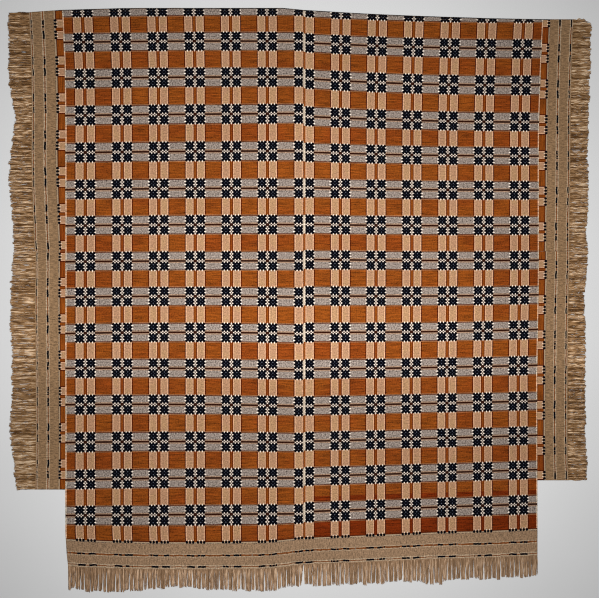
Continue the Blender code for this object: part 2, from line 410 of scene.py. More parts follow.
class Way:
    """One direction of the pattern, across or down, at a point of the cloth."""

    def __init__(self, place: Term, period: float, gap: float, star: float) -> None:
        """Works out which zone the point lies in, and its place inside its block.

        Args:
            place: The point's place in blocks.
            period: Blocks from one pair of stars to the next.
            gap: The width of the gap inside a pair.
            star: The width of a star.
        """
        self.at = place.swing(period / 2)
        self.inner, self.outer = gap / 2, gap / 2 + star
        self.gap, self.wide = self.at.below(self.inner), self.at.above(self.outer)
        self.star = self.at.between(self.inner, self.outer)
        inside = self.at - self.inner
        self.middle = inside.floor().between(1.5, 2.5)
        self.odd = inside.floor().odd()
        self.even = self.odd.opposite()
        self.off = inside.part().near(0.5)
        self.edge = inside.join("MINIMUM", self.at * -1.0 + self.outer)


class BlockPattern(Group):
    """The shader group that draws the pattern: stars, wide blocks, gaps and the woven end.

    Its sizes are in blocks. A rim is measured from the edge of the star zone, and is below zero
    outside it. A reach is how far a small mark goes each way from its middle.
    """

    LINE_WIDTHS = {"First Thread": 0.48, "First Dash": 0.52, "Second Thread": 0.30, "Second Dash": 0.62}
    SIDE_PLACE, END_PLACE = -0.32, -0.18
    SIDE_REACH, END_REACH, GAP_REACH, TIP_REACH = (0.82, 0.43), (0.74, 0.41), (0.38, 0.44), (0.32, 0.70)
    DARK_PLACE, DARK_REACH = 0.22, 0.62
    CORNER_PLACE, CORNER_REACH = 0.38, 0.68
    GLINT_REACH, DIM_REACH = (0.36, 0.36), (0.18, 0.18)
    ROW_SPOT, COLUMN_SPOT = (0.46, 0.50), (0.42, 0.42)
    TAN_RIM, RUST_OVERLAP, RUST_RIM, NARROW_RIM = 0.60, 0.14, -0.72, -0.40
    GREY_RIM, GREY_FROM, ABOVE_RIM = 0.42, 2.0, -0.48
    PEACH_HALF, LINE_HALF = 1.35, 0.56
    SEAM_HALF, SEAM_LINE, SELVEDGE = 1.0, 0.30, (149.7, 152.0)
    FOOT_RIM, FOOT_LIGHT, PLAIN_FROM, SPOTTED_TO = -0.95, -0.35, 0.45, 0.80
    BRIGHT_PLACE, BRIGHT_REACH = -1.25, (0.34, 0.42)
    DOT_PLACE, DOT_FLATTENING, DOT_REACH, DOT_MARGIN = -0.30, 0.92, 0.81, 0.4
    LINE_EDGE, WANDER, WANDER_SCALE, BROKEN_SCALE = 0.48, 1.3, 0.22, 0.9
    SPOTTED, WORN, DASHED = 0.50, 0.64, 0.38
    RUST_DRIFT, RUST_RANGE = (0.018, 0.030), (0.42, 0.62)
    GOLD_DRIFT, GOLD_RANGE = (0.13, 0.09), (0.40, 0.62)

    def __init__(self, draft: Draft) -> None:
        """Builds the group.

        Args:
            draft: The weaver's plan.
        """
        super().__init__(
            "block_pattern",
            "ShaderNodeTree",
            {"U": 0.0, "V": 0.0, "Fold": 0.0, "Late Dye": 0.0, **self.LINE_WIDTHS, **vars(FRONT)},
            {"Colour": tuple, "Wide": float, "Grey": float, "Plain": float},
        )
        self.draft, self.u, self.v = draft, self.given["U"], self.given["V"]
        self.a = Way(self.u, draft.across, draft.gap_across, draft.star)
        self.b = Way(self.v, draft.down, draft.gap_down, draft.star)
        self.w = self.v - draft.end
        self.body = self.w.below(-draft.dots)
        self.grey = self.a.wide * self.b.star * self.body
        tan, ink = self.grounds()
        for mask, name in (*self.zones(), *self.edges(), *self.woven_end()):
            tan = self.paint(tan, mask, ink[name])
        wide, plain = self.a.wide * self.b.wide * self.body, self.w.above(self.PLAIN_FROM)
        self.add("NodeGroupOutput", {"Colour": tan, "Wide": wide, "Grey": self.grey, "Plain": plain})

    @staticmethod
    def diamond(x: Term, y: Term, reach: Pair) -> Term:
        """A mask that is 1 inside a diamond, from the distances to its middle."""
        return (x / reach[0] + y / reach[1]).below(1.0)

    @staticmethod
    def disc(x: Term, y: Term, reach: float) -> Term:
        """A mask that is 1 inside a disc, from the distances to its middle."""
        return (x * x + y * y).below(reach * reach)

    def grounds(self) -> tuple[Socket, dict[str, Socket]]:
        """The two grounds that vary in dye from place to place.

        Returns:
            The tan ground, and every ink by name, with the rust ground among them.
        """
        ink = {name: self.given[name] for name in vars(FRONT)}
        (rust_u, rust_v), (gold_u, gold_v) = self.RUST_DRIFT, self.GOLD_DRIFT
        drift = self.noise(self.vector(self.u * rust_u, self.v * rust_v, 8.0), 1.0, 2.0)
        rust = self.paint(ink["rust"], drift.ramp(*self.RUST_RANGE), ink["rust_red"])
        late = (self.w + self.given["Late Dye"]).above(0.0)
        ink["rust_ground"] = self.paint(rust, late, ink["rust_late"])
        gold = self.noise(self.vector(self.u * gold_u, self.v * gold_v, 5.0))
        return self.paint(ink["tan"], gold.ramp(*self.GOLD_RANGE), ink["tan_gold"]), ink

    def teeth(self) -> tuple[Term, Term]:
        """The small points round the stars.

        Returns:
            The mask of the cream points between dark ones, and the mask of the dark points.
        """
        a, b = self.a, self.b
        cream = self.diamond(a.edge.near(self.SIDE_PLACE), b.off, self.SIDE_REACH) * b.odd * b.star
        cream = cream.either(
            self.diamond(b.edge.near(self.END_PLACE), a.off, self.END_REACH) * a.odd * a.star,
            self.diamond(a.at, b.off, self.GAP_REACH) * b.even * b.star,
            self.diamond(b.at, a.off, self.GAP_REACH) * a.even * a.star,
            self.diamond(a.at, b.at.near(b.outer), self.TIP_REACH) * a.gap,
        )
        dark = self.disc(a.edge.near(self.DARK_PLACE), b.off, self.DARK_REACH) * b.even * b.star
        dark = dark.either(
            self.disc(b.edge.near(self.DARK_PLACE), a.off, self.DARK_REACH) * a.even * a.star,
            self.disc(a.edge.near(self.CORNER_PLACE), b.edge.near(self.CORNER_PLACE), self.CORNER_REACH),
        )
        return cream, dark

    def zones(self) -> Iterator[tuple[Term, str]]:
        """Works out the zones of the pattern, from the lowest layer up.

        Yields:
            Each layer's mask and the name of its ink.
        """
        a, b, wide = self.a, self.b, self.a.wide
        cream, points = self.teeth()
        star = a.star * b.star
        plain = a.star.opposite().either(a.at.below(a.inner + self.RUST_OVERLAP))
        rust_rim = (wide * a.edge.above(self.RUST_RIM)).either(a.gap * a.edge.above(self.NARROW_RIM))
        spots = self.diamond(b.at, a.off, self.ROW_SPOT) * a.odd * a.star
        yield a.edge.between(0.0, self.TAN_RIM) * a.star * b.wide, "tan_edge"
        yield plain * b.wide, "rust_ground"
        yield rust_rim * b.wide, "rust_edge"
        yield self.grey, "grey"
        yield self.grey * b.edge.below(self.GREY_RIM) * b.at.above(self.GREY_FROM), "rust_edge"
        yield wide * b.edge.between(self.ABOVE_RIM, 0.0) * b.wide, "rim"
        yield wide * b.at.below(self.PEACH_HALF), "peach"
        yield wide * b.at.below(self.LINE_HALF), "line"
        yield (a.gap * b.star).either(a.star * b.gap), "lattice"
        yield star.either(points).without(cream) * self.body, "star"
        yield cream * self.body, "cream"
        yield spots.either(self.diamond(a.at, b.off, self.COLUMN_SPOT) * b.odd * a.gap * b.star), "spot"
        yield a.gap * b.gap, "line"
        yield self.diamond(a.off, b.off, self.GLINT_REACH) * star * a.middle * b.odd, "glint"
        yield self.diamond(a.off, b.off, self.DIM_REACH) * star * b.middle * a.odd, "glint"

    def edges(self) -> Iterator[tuple[Term, str]]:
        """Works out the centre seam, the outer selvedge and the painted shadow along the hem's folded
        edge.

        Yields:
            Each layer's mask and the name of its ink.
        """
        wide, middle = self.b.wide, self.u.join("ABSOLUTE")
        seam, selvedge = middle.below(self.SEAM_HALF), self.u.between(*self.SELVEDGE)
        yield seam * wide, "rust"
        yield seam * wide * middle.below(self.SEAM_LINE), "rim"
        yield seam.without(wide), "seam"
        yield selvedge * wide, "selvedge"
        yield selvedge * self.b.star, "seam"
        # Painted shadow: a dark line along the folded hem's edge.
        yield self.given["Fold"].above(0.5), "fold"

    def woven_end(self) -> Iterator[tuple[Term, str]]:
        """Works out the plain tan end, its two fine lines and the row of dots.

        Yields:
            Each layer's mask and the name of its ink.
        """
        a, w = self.a, self.w
        place = self.vector(self.u, self.v * 0.1, 4.0)
        wandering = w + self.uneven(place, self.WANDER_SCALE, 3.0) * self.WANDER
        broken = self.noise(place, self.BROKEN_SCALE, 2.0)
        yield w.between(self.FOOT_RIM, self.FOOT_LIGHT) * a.wide, "rust_edge"
        yield w.above(self.FOOT_LIGHT), "end_light"
        yield w.above(self.PLAIN_FROM), "end"
        yield w.between(self.PLAIN_FROM, self.SPOTTED_TO) * broken.above(self.SPOTTED), "spot"
        for line, name in ((self.draft.first_line, "First"), (self.draft.second_line, "Second")):
            off = wandering.near(line)
            thread, dash = self.given[name + " Thread"], self.given[name + " Dash"]
            yield off.below(dash + self.LINE_EDGE) * off.above(thread), "line_edge"
            yield off.below(thread), "pinstripe"
            yield off.below(thread) * broken.above(self.WORN), "lattice"
            yield off.below(dash) * a.star * broken.above(self.DASHED), "star"
        yield self.diamond(a.off, w.near(self.BRIGHT_PLACE), self.BRIGHT_REACH) * a.odd * a.star, "cream"
        along = (a.at - (a.inner + 0.5)).swing(1.0)
        dots = self.disc(along, w.near(self.DOT_PLACE) * self.DOT_FLATTENING, self.DOT_REACH)
        yield dots * a.at.between(a.inner - self.DOT_MARGIN, a.outer + self.DOT_MARGIN), "star"


class ThreadWork(Group):
    """The shader group for single threads: the height and the tone of a plain weave."""

    STRENGTHS = ("Warp Streaks", "Weft Streaks", "Speckle", "Heather", "Ribs")
    WARP_GRAIN, WEFT_GRAIN, FLECK_GRAIN, RIB_GRAIN = (1.9, 0.05), (0.11, 1.15), (1.15, 1.15), (1.45, 0.34)
    SHOT_GRAIN, SHOT_STRENGTH = (0.010, 3.7), 0.22

    def __init__(self, draft: Draft) -> None:
        """Builds the group.

        Args:
            draft: The weaver's plan.
        """
        inputs = {"U": 0.0, "V": 0.0, **dict.fromkeys(self.STRENGTHS, 0.0)}
        super().__init__("thread_work", "ShaderNodeTree", inputs, {"Height": float, "Tone": float})
        u, v, warp, weft, speckle, heather, ribs = self.given.values()
        ends, picks = u * draft.threads, v * draft.threads
        over = (ends.floor() + picks.floor()).odd()
        round_end, round_pick = ((thread.part() * math.pi).join("SINE") for thread in (ends, picks))
        up = round_end * (round_pick * 0.5 + 0.5)
        down = round_pick * (round_end * 0.5 + 0.5)
        row = (v / draft.down).floor()
        along_warp = self.grain(u, v, self.WARP_GRAIN, 0.0, 2.0)
        along_weft = self.grain(u, v, self.WEFT_GRAIN)
        fleck = self.grain(u, v, self.FLECK_GRAIN)
        shot = self.grain(u, row, self.SHOT_GRAIN, 2.0)
        rib = self.grain(u, v, self.RIB_GRAIN, 6.0)
        tone = along_warp * warp + along_weft * weft + fleck * (speckle + heather)
        tone = tone + shot * self.SHOT_STRENGTH + rib * ribs + 1.0
        self.add("NodeGroupOutput", {"Height": up * over + down.without(over), "Tone": tone})

    def grain(self, u: Term, v: Term, grain: Pair, slice_at: float = 0.0, detail: float = 1.0) -> Term:
        """Unevenness about zero, drawn out along the threads."""
        return self.uneven(self.vector(u * grain[0], v * grain[1], slice_at), 1.0, detail)


class StainsAndPaintedLight(Group):
    """The shader group for soft stains, and for painted light and shade over the whole coverlet.

    Each change of painted light names where it starts and ends, in metres, and its strength there.
    """

    STAIN_SCALE, MOTTLE_SCALE, MOTTLE_SHARE = 2.6, 17.0, 0.5
    # Painted light and shade: the head, the foot and the sides darker, a band just below the middle
    # lighter, and a band lower down duller.
    HEAD, FOOT = (0.60, 1.10, 0.0, -0.04), (-0.80, -0.30, -0.03, 0.0)
    BRIGHT_AT, BRIGHT = -0.13, (0.05, 0.24, 0.08, 0.0)
    DULL_AT, DULL = -0.48, (0.10, 0.25, -0.06, 0.0)
    MIDDLE_AT, SIDES = -0.05, (0.60, 1.10, 0.0, -0.06)
    ROUGHNESS, ROUGHNESS_SPREAD = 0.88, 0.12

    def __init__(self) -> None:
        """Builds the group, which reads the piece's own Object coordinates."""
        outputs = {"Tone": float, "Roughness": float}
        super().__init__("long_use", "ShaderNodeTree", {"Stains": 0.1, "Fade": 1.0}, outputs)
        place = self.add("ShaderNodeTexCoord").outputs["Object"]
        split = self.add("ShaderNodeSeparateXYZ", {"Vector": place})
        x, y = self.term(split, "X"), self.term(split, "Y")
        cloud = self.uneven(place, self.STAIN_SCALE, 3.0)
        stained = cloud + self.uneven(place, self.MOTTLE_SCALE, 2.0) * self.MOTTLE_SHARE
        # The painted light and shade, worked out from the place on the coverlet.
        light = y.ramp(*self.HEAD) + y.ramp(*self.FOOT) + y.near(self.BRIGHT_AT).ramp(*self.BRIGHT)
        light = light + y.near(self.DULL_AT).ramp(*self.DULL) + x.near(self.MIDDLE_AT).ramp(*self.SIDES)
        tone = stained * self.given["Stains"] + light * self.given["Fade"] + 1.0
        rough = cloud * self.ROUGHNESS_SPREAD + self.ROUGHNESS
        self.add("NodeGroupOutput", {"Tone": tone, "Roughness": rough})


class Surface(Nodes):
    """The nodes of a new material, with its shader."""

    def __init__(self, name: str) -> None:
        """Starts the material.

        Args:
            name: The material's name.
        """
        self.material = bpy.data.materials.new(name)
        self.material.use_nodes = True
        super().__init__(self.material.node_tree)

    def group(self, group: Group, inputs: Mapping[str, Any]) -> Node:
        """Places a group, with its inputs by name."""
        return self.add("ShaderNodeGroup", inputs, node_tree=group.tree)

    def attribute(self, name: str) -> Term:
        """A number that the mesh carries at each point."""
        return self.term(self.add("ShaderNodeAttribute", attribute_name=name), "Fac")

    def toned(self, colour: Any, tone: Term) -> Socket:
        """A colour times a tone."""
        return self.vectors("MULTIPLY", colour, self.vector(tone, tone, tone)).outputs[0]

    def bumped(self, height: Term, strength: float, depth: float) -> Socket:
        """A normal that follows a height."""
        inputs = {"Height": height, "Strength": strength, "Distance": depth}
        return self.add("ShaderNodeBump", inputs).outputs[0]

    def dress(self, inputs: Mapping[str, Any]) -> Material:
        """Feeds the shader.

        Args:
            inputs: Values, terms or sockets by the shader's input name.

        Returns:
            The material.
        """
        for name, value in inputs.items():
            self.feed(self.tree.nodes["Principled BSDF"].inputs[name], value)
        return self.material


@dataclass(frozen=True)
class ClothFinish:
    """Wool and cotton double cloth, on one of its faces."""

    name: str
    palette: Palette
    warp_streaks: float = 0.16
    weft_streaks: float = 1.7
    least_streaks: float = 0.06
    speckle: float = 1.4
    heather: float = 1.3
    ribs: float = 2.8
    stains: float = 0.20
    gloss: float = 0.04
    sheen: float = 0.015
    sheen_roughness: float = 0.6
    bump: Pair = (0.6, 0.0004)
    first_line: Pair = (0.60, 0.62)
    second_line: Pair = (0.30, 0.62)
    late_dye: float = 0.0

    def make(self, pattern: BlockPattern, threads: ThreadWork, use: StainsAndPaintedLight) -> Material:
        """Builds the material.

        Args:
            pattern: The group that draws the blocks.
            threads: The group for single threads.
            use: The group for stains and painted light and shade.

        Returns:
            The material.
        """
        n = Surface(self.name)
        split = n.add("ShaderNodeSeparateXYZ", {0: n.add("ShaderNodeUVMap", uv_map=MAP_NAME).outputs[0]})
        place = {"U": n.term(split, "X"), "V": n.term(split, "Y")}
        widths = dict(zip(pattern.LINE_WIDTHS, (*self.first_line, *self.second_line)))
        marks = {"Fold": n.attribute(Woven.FOLD), "Late Dye": self.late_dye}
        drawn = n.group(pattern, {**place, **marks, **widths, **vars(self.palette)})
        strengths = (
            self.warp_streaks,
            n.term(drawn, "Wide") * self.weft_streaks + self.least_streaks,
            self.speckle,
            n.term(drawn, "Grey") * self.heather,
            n.term(drawn, "Plain") * self.ribs,
        )
        thread = n.group(threads, {**place, **dict(zip(threads.STRENGTHS, strengths))})
        stained_and_lit = n.group(use, {"Stains": self.stains})
        tone = n.term(thread, "Tone") * n.term(stained_and_lit, "Tone")
        return n.dress(
            {
                "Base Color": n.toned(drawn.outputs["Colour"], tone),
                "Roughness": n.term(stained_and_lit, "Roughness"),
                "Specular IOR Level": self.gloss,
                "Sheen Weight": self.sheen,
                "Sheen Roughness": self.sheen_roughness,
                "Normal": n.bumped(n.term(thread, "Height"), *self.bump),
            }
        )


@dataclass(frozen=True)
class YarnFinish:
    """Spun yarn, as on the fringe and in the sewing; on the fringe its dark and light colours carry
    painted shade and painted highlights.
    """

    name: str
    # dark is painted shade between and under strands; light is partly paler yarn and partly painted
    # highlight; shaded and lit are the tones where each takes over.
    dark: Colour
    colour: Colour
    light: Colour
    shaded: Pair = (0.24, 0.60)
    lit: Pair = (0.56, 0.80)
    stains: float = 0.15
    twist: float = 900.0
    twist_tone: float = 0.3
    gloss: float = 0.2
    bump: Pair = (0.4, 0.0003)

    def make(self, use: StainsAndPaintedLight) -> Material:
        """Builds the material, which reads each strand's tone, painted shade and highlights included.

        Args:
            use: The group for stains and painted light and shade.

        Returns:
            The material.
        """
        n = Surface(self.name)
        strand = n.attribute(YarnTree.TONE)
        stained_and_lit = n.group(use, {"Stains": self.stains})
        # Painted shade at a strand's darkest tones, its own colour in the middle, and at its lightest
        # tones a colour that is partly paler yarn and partly painted highlight.
        colour = n.paint(self.dark, strand.ramp(*self.shaded), self.colour)
        colour = n.paint(colour, strand.ramp(*self.lit), self.light)
        fibre = n.noise(n.add("ShaderNodeTexCoord").outputs["Object"], self.twist)
        tone = ((fibre - 0.5) * self.twist_tone + 1.0) * n.term(stained_and_lit, "Tone")
        return n.dress(
            {
                "Base Color": n.toned(colour, tone),
                "Roughness": n.term(stained_and_lit, "Roughness"),
                "Specular IOR Level": self.gloss,
                "Normal": n.bumped(fibre, *self.bump),
            }
        )


@dataclass(frozen=True)
class FloorFinish:
    """A plain pale floor with a very faint grain."""

    name: str = "pale_floor"
    colour: Colour = rgb(0.83, 0.83, 0.83)
    grain: float = 0.04
    grain_scale: float = 3.0
    roughness: float = 0.9
    gloss: float = 0.1

    def make(self) -> Material:
        """Builds the material.

        Returns:
            The material.
        """
        n = Surface(self.name)
        place = n.add("ShaderNodeTexCoord").outputs["Object"]
        tone = n.noise(place, self.grain_scale, 2.0) * self.grain + (1.0 - self.grain / 2)
        base = n.toned(self.colour[:3], tone)
        return n.dress({"Base Color": base, "Roughness": self.roughness, "Specular IOR Level": self.gloss})


def new_piece(mesh: Mesh, name: str) -> Piece:
    """Links a mesh to the scene as a piece at the origin.

    Args:
        mesh: The piece's mesh.
        name: The piece's name.

    Returns:
        The piece.
    """
    piece = bpy.data.objects.new(name, mesh)
    bpy.context.scene.collection.objects.link(piece)
    return piece


class GrowthTree(Group):
    """A Geometry Nodes tree that grows something along a line of edges."""

    def __init__(self, name: str, sizes: Sequence[str], directions: Sequence[str] = ()) -> None:
        """Starts the tree.

        Args:
            name: The tree's name.
            sizes: The names of its inputs that are numbers.
            directions: The names of its inputs that are vectors.
        """
        numbers, vectors = dict.fromkeys(sizes, float), dict.fromkeys(directions, Vector)
        inputs = {"Geometry": Mesh, **numbers, **vectors, "Seed": int, "Material": Material}
        super().__init__(name, "GeometryNodeTree", inputs, {"Geometry": Mesh})
        self.tree.is_modifier = True

    def points(self) -> Node:
        """Finds points along the line, one pitch apart.

        Returns:
            The node that puts out the points and the line's direction.
        """
        curve = self.add("GeometryNodeMeshToCurve", {0: self.given["Geometry"]}).outputs[0]
        inputs = {"Curve": curve, "Length": self.given["Pitch"]}
        return self.add("GeometryNodeCurveToPoints", inputs, mode="LENGTH")

    def tube(self, curve: Socket, radius: Term, sides: int) -> Socket:
        """Makes a curve a closed tube.

        Args:
            curve: The curve.
            radius: The tube's radius.
            sides: How many sides it has.

        Returns:
            The tube.
        """
        ring = self.add("GeometryNodeCurvePrimitiveCircle", {"Resolution": sides, "Radius": radius})
        inputs = {"Curve": curve, "Profile Curve": ring.outputs[0], "Fill Caps": True}
        return self.add("GeometryNodeCurveToMesh", inputs).outputs[0]

    def close(self, made: Socket) -> None:
        """Ends the tree with plain geometry in its material.

        Args:
            made: What the tree has grown.
        """
        plain = self.add("GeometryNodeRealizeInstances", {0: made}).outputs[0]
        inputs = {"Geometry": plain, "Material": self.given["Material"]}
        dressed = self.add("GeometryNodeSetMaterial", inputs).outputs[0]
        self.add("NodeGroupOutput", {"Geometry": dressed})

    def grow(self, sizes: "Fringe | Seam", guide: Mesh, others: Mapping[str, Any]) -> Piece:
        """Runs the tree on a guide mesh and keeps the result as a plain mesh.

        Args:
            sizes: What is grown. It holds its name, and the tree's inputs as fields.
            guide: The mesh that the tree starts from.
            others: The inputs that aren't fields, by name.

        Returns:
            The new piece, at the origin.
        """
        source = new_piece(guide, sizes.name + "_guide")
        modifier = source.modifiers.new("grow", "NODES")
        modifier.node_group = self.tree
        for item in self.tree.interface.items_tree:
            if item.in_out == "INPUT" and item.name != "Geometry":
                own = item.name.lower().replace(" ", "_")
                value = others[item.name] if item.name in others else getattr(sizes, own)
                modifier[item.identifier] = value
        bpy.context.view_layer.update()
        seen = source.evaluated_get(bpy.context.evaluated_depsgraph_get())
        mesh = bpy.data.meshes.new_from_object(seen)
        mesh.name = sizes.name
        source.modifiers.remove(modifier)
        bpy.data.objects.remove(source)
        bpy.data.meshes.remove(guide)
        return new_piece(mesh, sizes.name)


class YarnTree(GrowthTree):
    """The Geometry Nodes tree that grows a fringe of crimped warp ends from a line of roots."""

    TONE = "strand_tone"
    LOCK_SIZES = ("Lock Pitch", "Bundles", "Clump", "Lean", "Ragged")
    SIZES = ("Pitch", "Yarn Radius", *LOCK_SIZES, "Crimp", "Crimp Rate", "Depth", "Root Height")
    STRAND_POINTS, YARN_SIDES = 9, 3
    LOCK_NOISE, LOCK_SPREAD, LOCK_SHARE = 31.0, 1.6, 0.6
    OWN_CRIMP, SHARED_CRIMP, SLOWER, CLUMP_POWER = 0.7, 3.0, 0.7, 0.8
    CRIMPED_FROM, LIFTED_FROM, ROOT_FALL = (0.0, 0.25), (0.0, 0.3), (0.0, 0.22, 1.0, 0.0)
    FREE, STOUT, TAPER = (0.34, 0.74, 0.20, 1.0), (0.30, 0.60, 2.0, 1.0), (0.55, 1.0, 1.0, 0.6)
    # The lower layers are painted darker as shade, and strokes along the strands are painted light and
    # shade.
    LAYER_TONE, YARN_TONE, BUNDLE_TONE, STROKE_TONE = 0.14, 0.14, 0.32, 0.40
    SWIRL, STROKE_RANGE = 5.0, (0.32, 0.68)

    def __init__(self) -> None:
        """Builds the tree."""
        super().__init__("fringe_yarns", self.SIZES, ("Out", "Along"))
        strands = self.bend(self.lay(self.roots()))
        self.close(self.tube(strands, self.given["Yarn Radius"], self.YARN_SIDES))

    def chance(self, seed: int, identity: Any = None, low: float = 0.0, high: float = 1.0) -> Term:
        """A fixed random number for each point, strand or lock.

        Args:
            seed: What keeps one use apart from another.
            identity: The number of the strand or lock, or None for each point.
            low: The least value.
            high: The greatest value.

        Returns:
            The number.
        """
        inputs = {"Min": low, "Max": high, "Seed": self.given["Seed"] + float(seed)}
        if identity is not None:
            inputs["ID"] = identity
        return self.term(self.add("FunctionNodeRandomValue", inputs, data_type="FLOAT"))

    def dot(self, other: Any) -> Term:
        """How far a point lies along a direction."""
        place = self.add("GeometryNodeInputPosition").outputs[0]
        return self.term(self.vectors("DOT_PRODUCT", place, other), "Value")

    def scaled(self, vector: Any, by: Term) -> Socket:
        """A direction times a number."""
        return self.add("ShaderNodeVectorMath", {0: vector, "Scale": by}, operation="SCALE").outputs[0]

    def moved(self, geometry: Socket, offset: Socket) -> Socket:
        """Geometry with its points moved."""
        return self.add("GeometryNodeSetPosition", {"Geometry": geometry, "Offset": offset}).outputs[0]

    def lock_of(self, along: Term) -> Term:
        """The number of the lock that a root belongs to. Locks differ in width."""
        uneven = self.uneven(self.vector(along, 0.0, 3.0), self.LOCK_NOISE) * self.LOCK_SPREAD
        return (along / self.given["Lock Pitch"] + uneven).floor()

    def roots(self) -> Socket:
        """Points along the cloth's edge, a little uneven."""
        shift = self.scaled(self.given["Along"], self.chance(1, None, -0.5, 0.5) * self.given["Pitch"])
        return self.moved(self.points().outputs["Points"], shift)

    def lay(self, points: Socket) -> Socket:
        """Lays one straight strand out from each root.

        Args:
            points: The roots.

        Returns:
            The strands.
        """
        line = self.add("GeometryNodeCurvePrimitiveLine", {"End": self.given["Out"]}).outputs[0]
        line = self.add("GeometryNodeResampleCurve", {"Curve": line, "Count": self.STRAND_POINTS})
        reach = self.add("GeometryNodeInputNamedAttribute", {"Name": "reach"}, data_type="FLOAT")
        lock = self.lock_of(self.dot(self.given["Along"]))
        uneven = self.chance(2) * self.chance(3) * self.given["Ragged"]
        by_lock = self.chance(4, lock) * self.given["Ragged"] * self.LOCK_SHARE
        length = self.term(reach, "Attribute") * (uneven + by_lock).opposite()
        inputs = {"Points": points, "Instance": line.outputs[0], "Scale": length}
        placed = self.add("GeometryNodeInstanceOnPoints", inputs)
        return self.add("GeometryNodeRealizeInstances", {0: placed.outputs[0]}).outputs[0]

    def bend(self, strands: Socket) -> Socket:
        """Draws the strands together into locks, and gives them their crimp and their layers.

        Args:
            strands: The straight strands.

        Returns:
            The bent strands, with their tone and thickness.
        """
        given = self.given
        t = self.term(self.add("GeometryNodeSplineParameter"), "Factor")
        strand = self.term(self.add("GeometryNodeCurveOfPoint"), "Curve Index")
        along = self.dot(given["Along"])
        lock, layer, turns = self.lock_of(along), self.chance(6, strand), t * given["Crimp Rate"]
        pulled = given["Clump"] * t.join("POWER", self.CLUMP_POWER)
        clump = ((lock + 0.5) * given["Lock Pitch"] - along) * pulled
        own = self.uneven(self.vector(turns, strand * 3.17, 1.0))
        shared = self.uneven(self.vector(turns * self.SLOWER, along * 26.0, 7.0), 1.0, 2.0)
        lean = self.chance(5, lock, -0.5, 0.5) * t * given["Lean"]
        crimp = (own * self.OWN_CRIMP + shared * self.SHARED_CRIMP + lean) * given["Crimp"]
        sideways = clump + crimp * t.ramp(*self.CRIMPED_FROM) * layer.ramp(*self.FREE)
        hump = self.noise(self.vector(turns * self.SLOWER, strand * 1.31, 4.0))
        stout = layer.ramp(*self.STOUT)
        height = given["Yarn Radius"] * stout + layer * hump * given["Depth"] * t.ramp(*self.LIFTED_FROM)
        up = self.vector(0.0, 0.0, height + given["Root Height"] * t.ramp(*self.ROOT_FALL))
        offset = self.vectors("ADD", self.scaled(given["Along"], sideways), up).outputs[0]
        bent = self.moved(strands, offset)
        values = {"Geometry": bent, "Name": self.TONE, "Value": self.tone(t, strand, along, layer)}
        toned = self.add("GeometryNodeStoreNamedAttribute", values, data_type="FLOAT", domain="POINT")
        taper = {"Curve": toned.outputs[0], "Radius": t.ramp(*self.TAPER) * stout}
        return self.add("GeometryNodeSetCurveRadius", taper).outputs[0]

    def tone(self, t: Term, strand: Term, along: Term, layer: Term) -> Term:
        """How light each point of a strand is painted: tones by strand and bundle that are partly the
        yarns' own and partly painted highlight, painted shade on the lower layers, and painted highlights
        and shade in strokes along the strands.

        Args:
            t: The place along the strand, from 0 to 1.
            strand: The strand's number.
            along: The root's place along the edge.
            layer: The strand's layer, from 0 at the floor to 1.

        Returns:
            The tone, from 0 to 1.
        """
        bundle = (along / self.given["Lock Pitch"] * self.given["Bundles"]).floor()
        swirl = self.noise(self.vector(t * 1.2, along * 32.0, 5.0)) * self.SWIRL
        lit_stroke = self.noise(self.vector(t * 2.1, along * 230.0 + swirl, 9.0)).ramp(*self.STROKE_RANGE)
        yarn_and_depth_shade = layer * self.LAYER_TONE + self.chance(7, strand) * self.YARN_TONE
        return yarn_and_depth_shade + self.chance(8, bundle) * self.BUNDLE_TONE + lit_stroke * self.STROKE_TONE


class StitchTree(GrowthTree):
    """The Geometry Nodes tree that sews stitches along a line."""

    SIZES = ("Pitch", "Thread Radius", "Along", "Across", "Rise")
    STITCH_SIZE, ARCH_POINTS, THREAD_SIDES = (0.82, 1.15), 4, 4

    def __init__(self) -> None:
        """Builds the tree."""
        super().__init__("hand_stitches", self.SIZES)
        given, points, (least, most) = self.given, self.points(), self.STITCH_SIZE
        along, across = given["Along"] * 0.5, given["Across"] * 0.5
        ends = {"Start": self.vector(along * -1.0, across * -1.0), "End": self.vector(along, across)}
        rise = {"Resolution": self.ARCH_POINTS, "Middle": self.vector(0.0, 0.0, given["Rise"] * 2.0)}
        arch = self.add("GeometryNodeCurveQuadraticBezier", {**ends, **rise}).outputs[0]
        way = {"Vector": points.outputs["Tangent"]}
        turn = self.add("FunctionNodeAlignRotationToVector", way, axis="X")
        spread = {"Min": least, "Max": most, "Seed": given["Seed"]}
        stitch = {
            "Points": points.outputs["Points"],
            "Instance": self.tube(arch, given["Thread Radius"], self.THREAD_SIDES),
            "Rotation": turn.outputs[0],
            "Scale": self.term(self.add("FunctionNodeRandomValue", spread, data_type="FLOAT")),
        }
        self.close(self.add("GeometryNodeInstanceOnPoints", stitch).outputs[0])


def line_mesh(name: str, points: Grid, reach: Grid | None = None) -> Mesh:
    """A mesh of edges along points, with how far the fringe reaches from each.

    Args:
        name: The mesh's name.
        points: Places in order, three numbers each.
        reach: The fringe's length at each point, or None.

    Returns:
        The mesh.
    """
    mesh = bpy.data.meshes.new(name)
    mesh.from_pydata([tuple(p) for p in points], [(i, i + 1) for i in range(len(points) - 1)], [])
    if reach is not None:
        carry(mesh, "reach", reach)
    return mesh


def carry(mesh: Mesh, name: str, values: Grid) -> None:
    """Stores a number at each point of a mesh."""
    mesh.attributes.new(name, "FLOAT", "POINT").data.foreach_set("value", values.astype(np.float32))


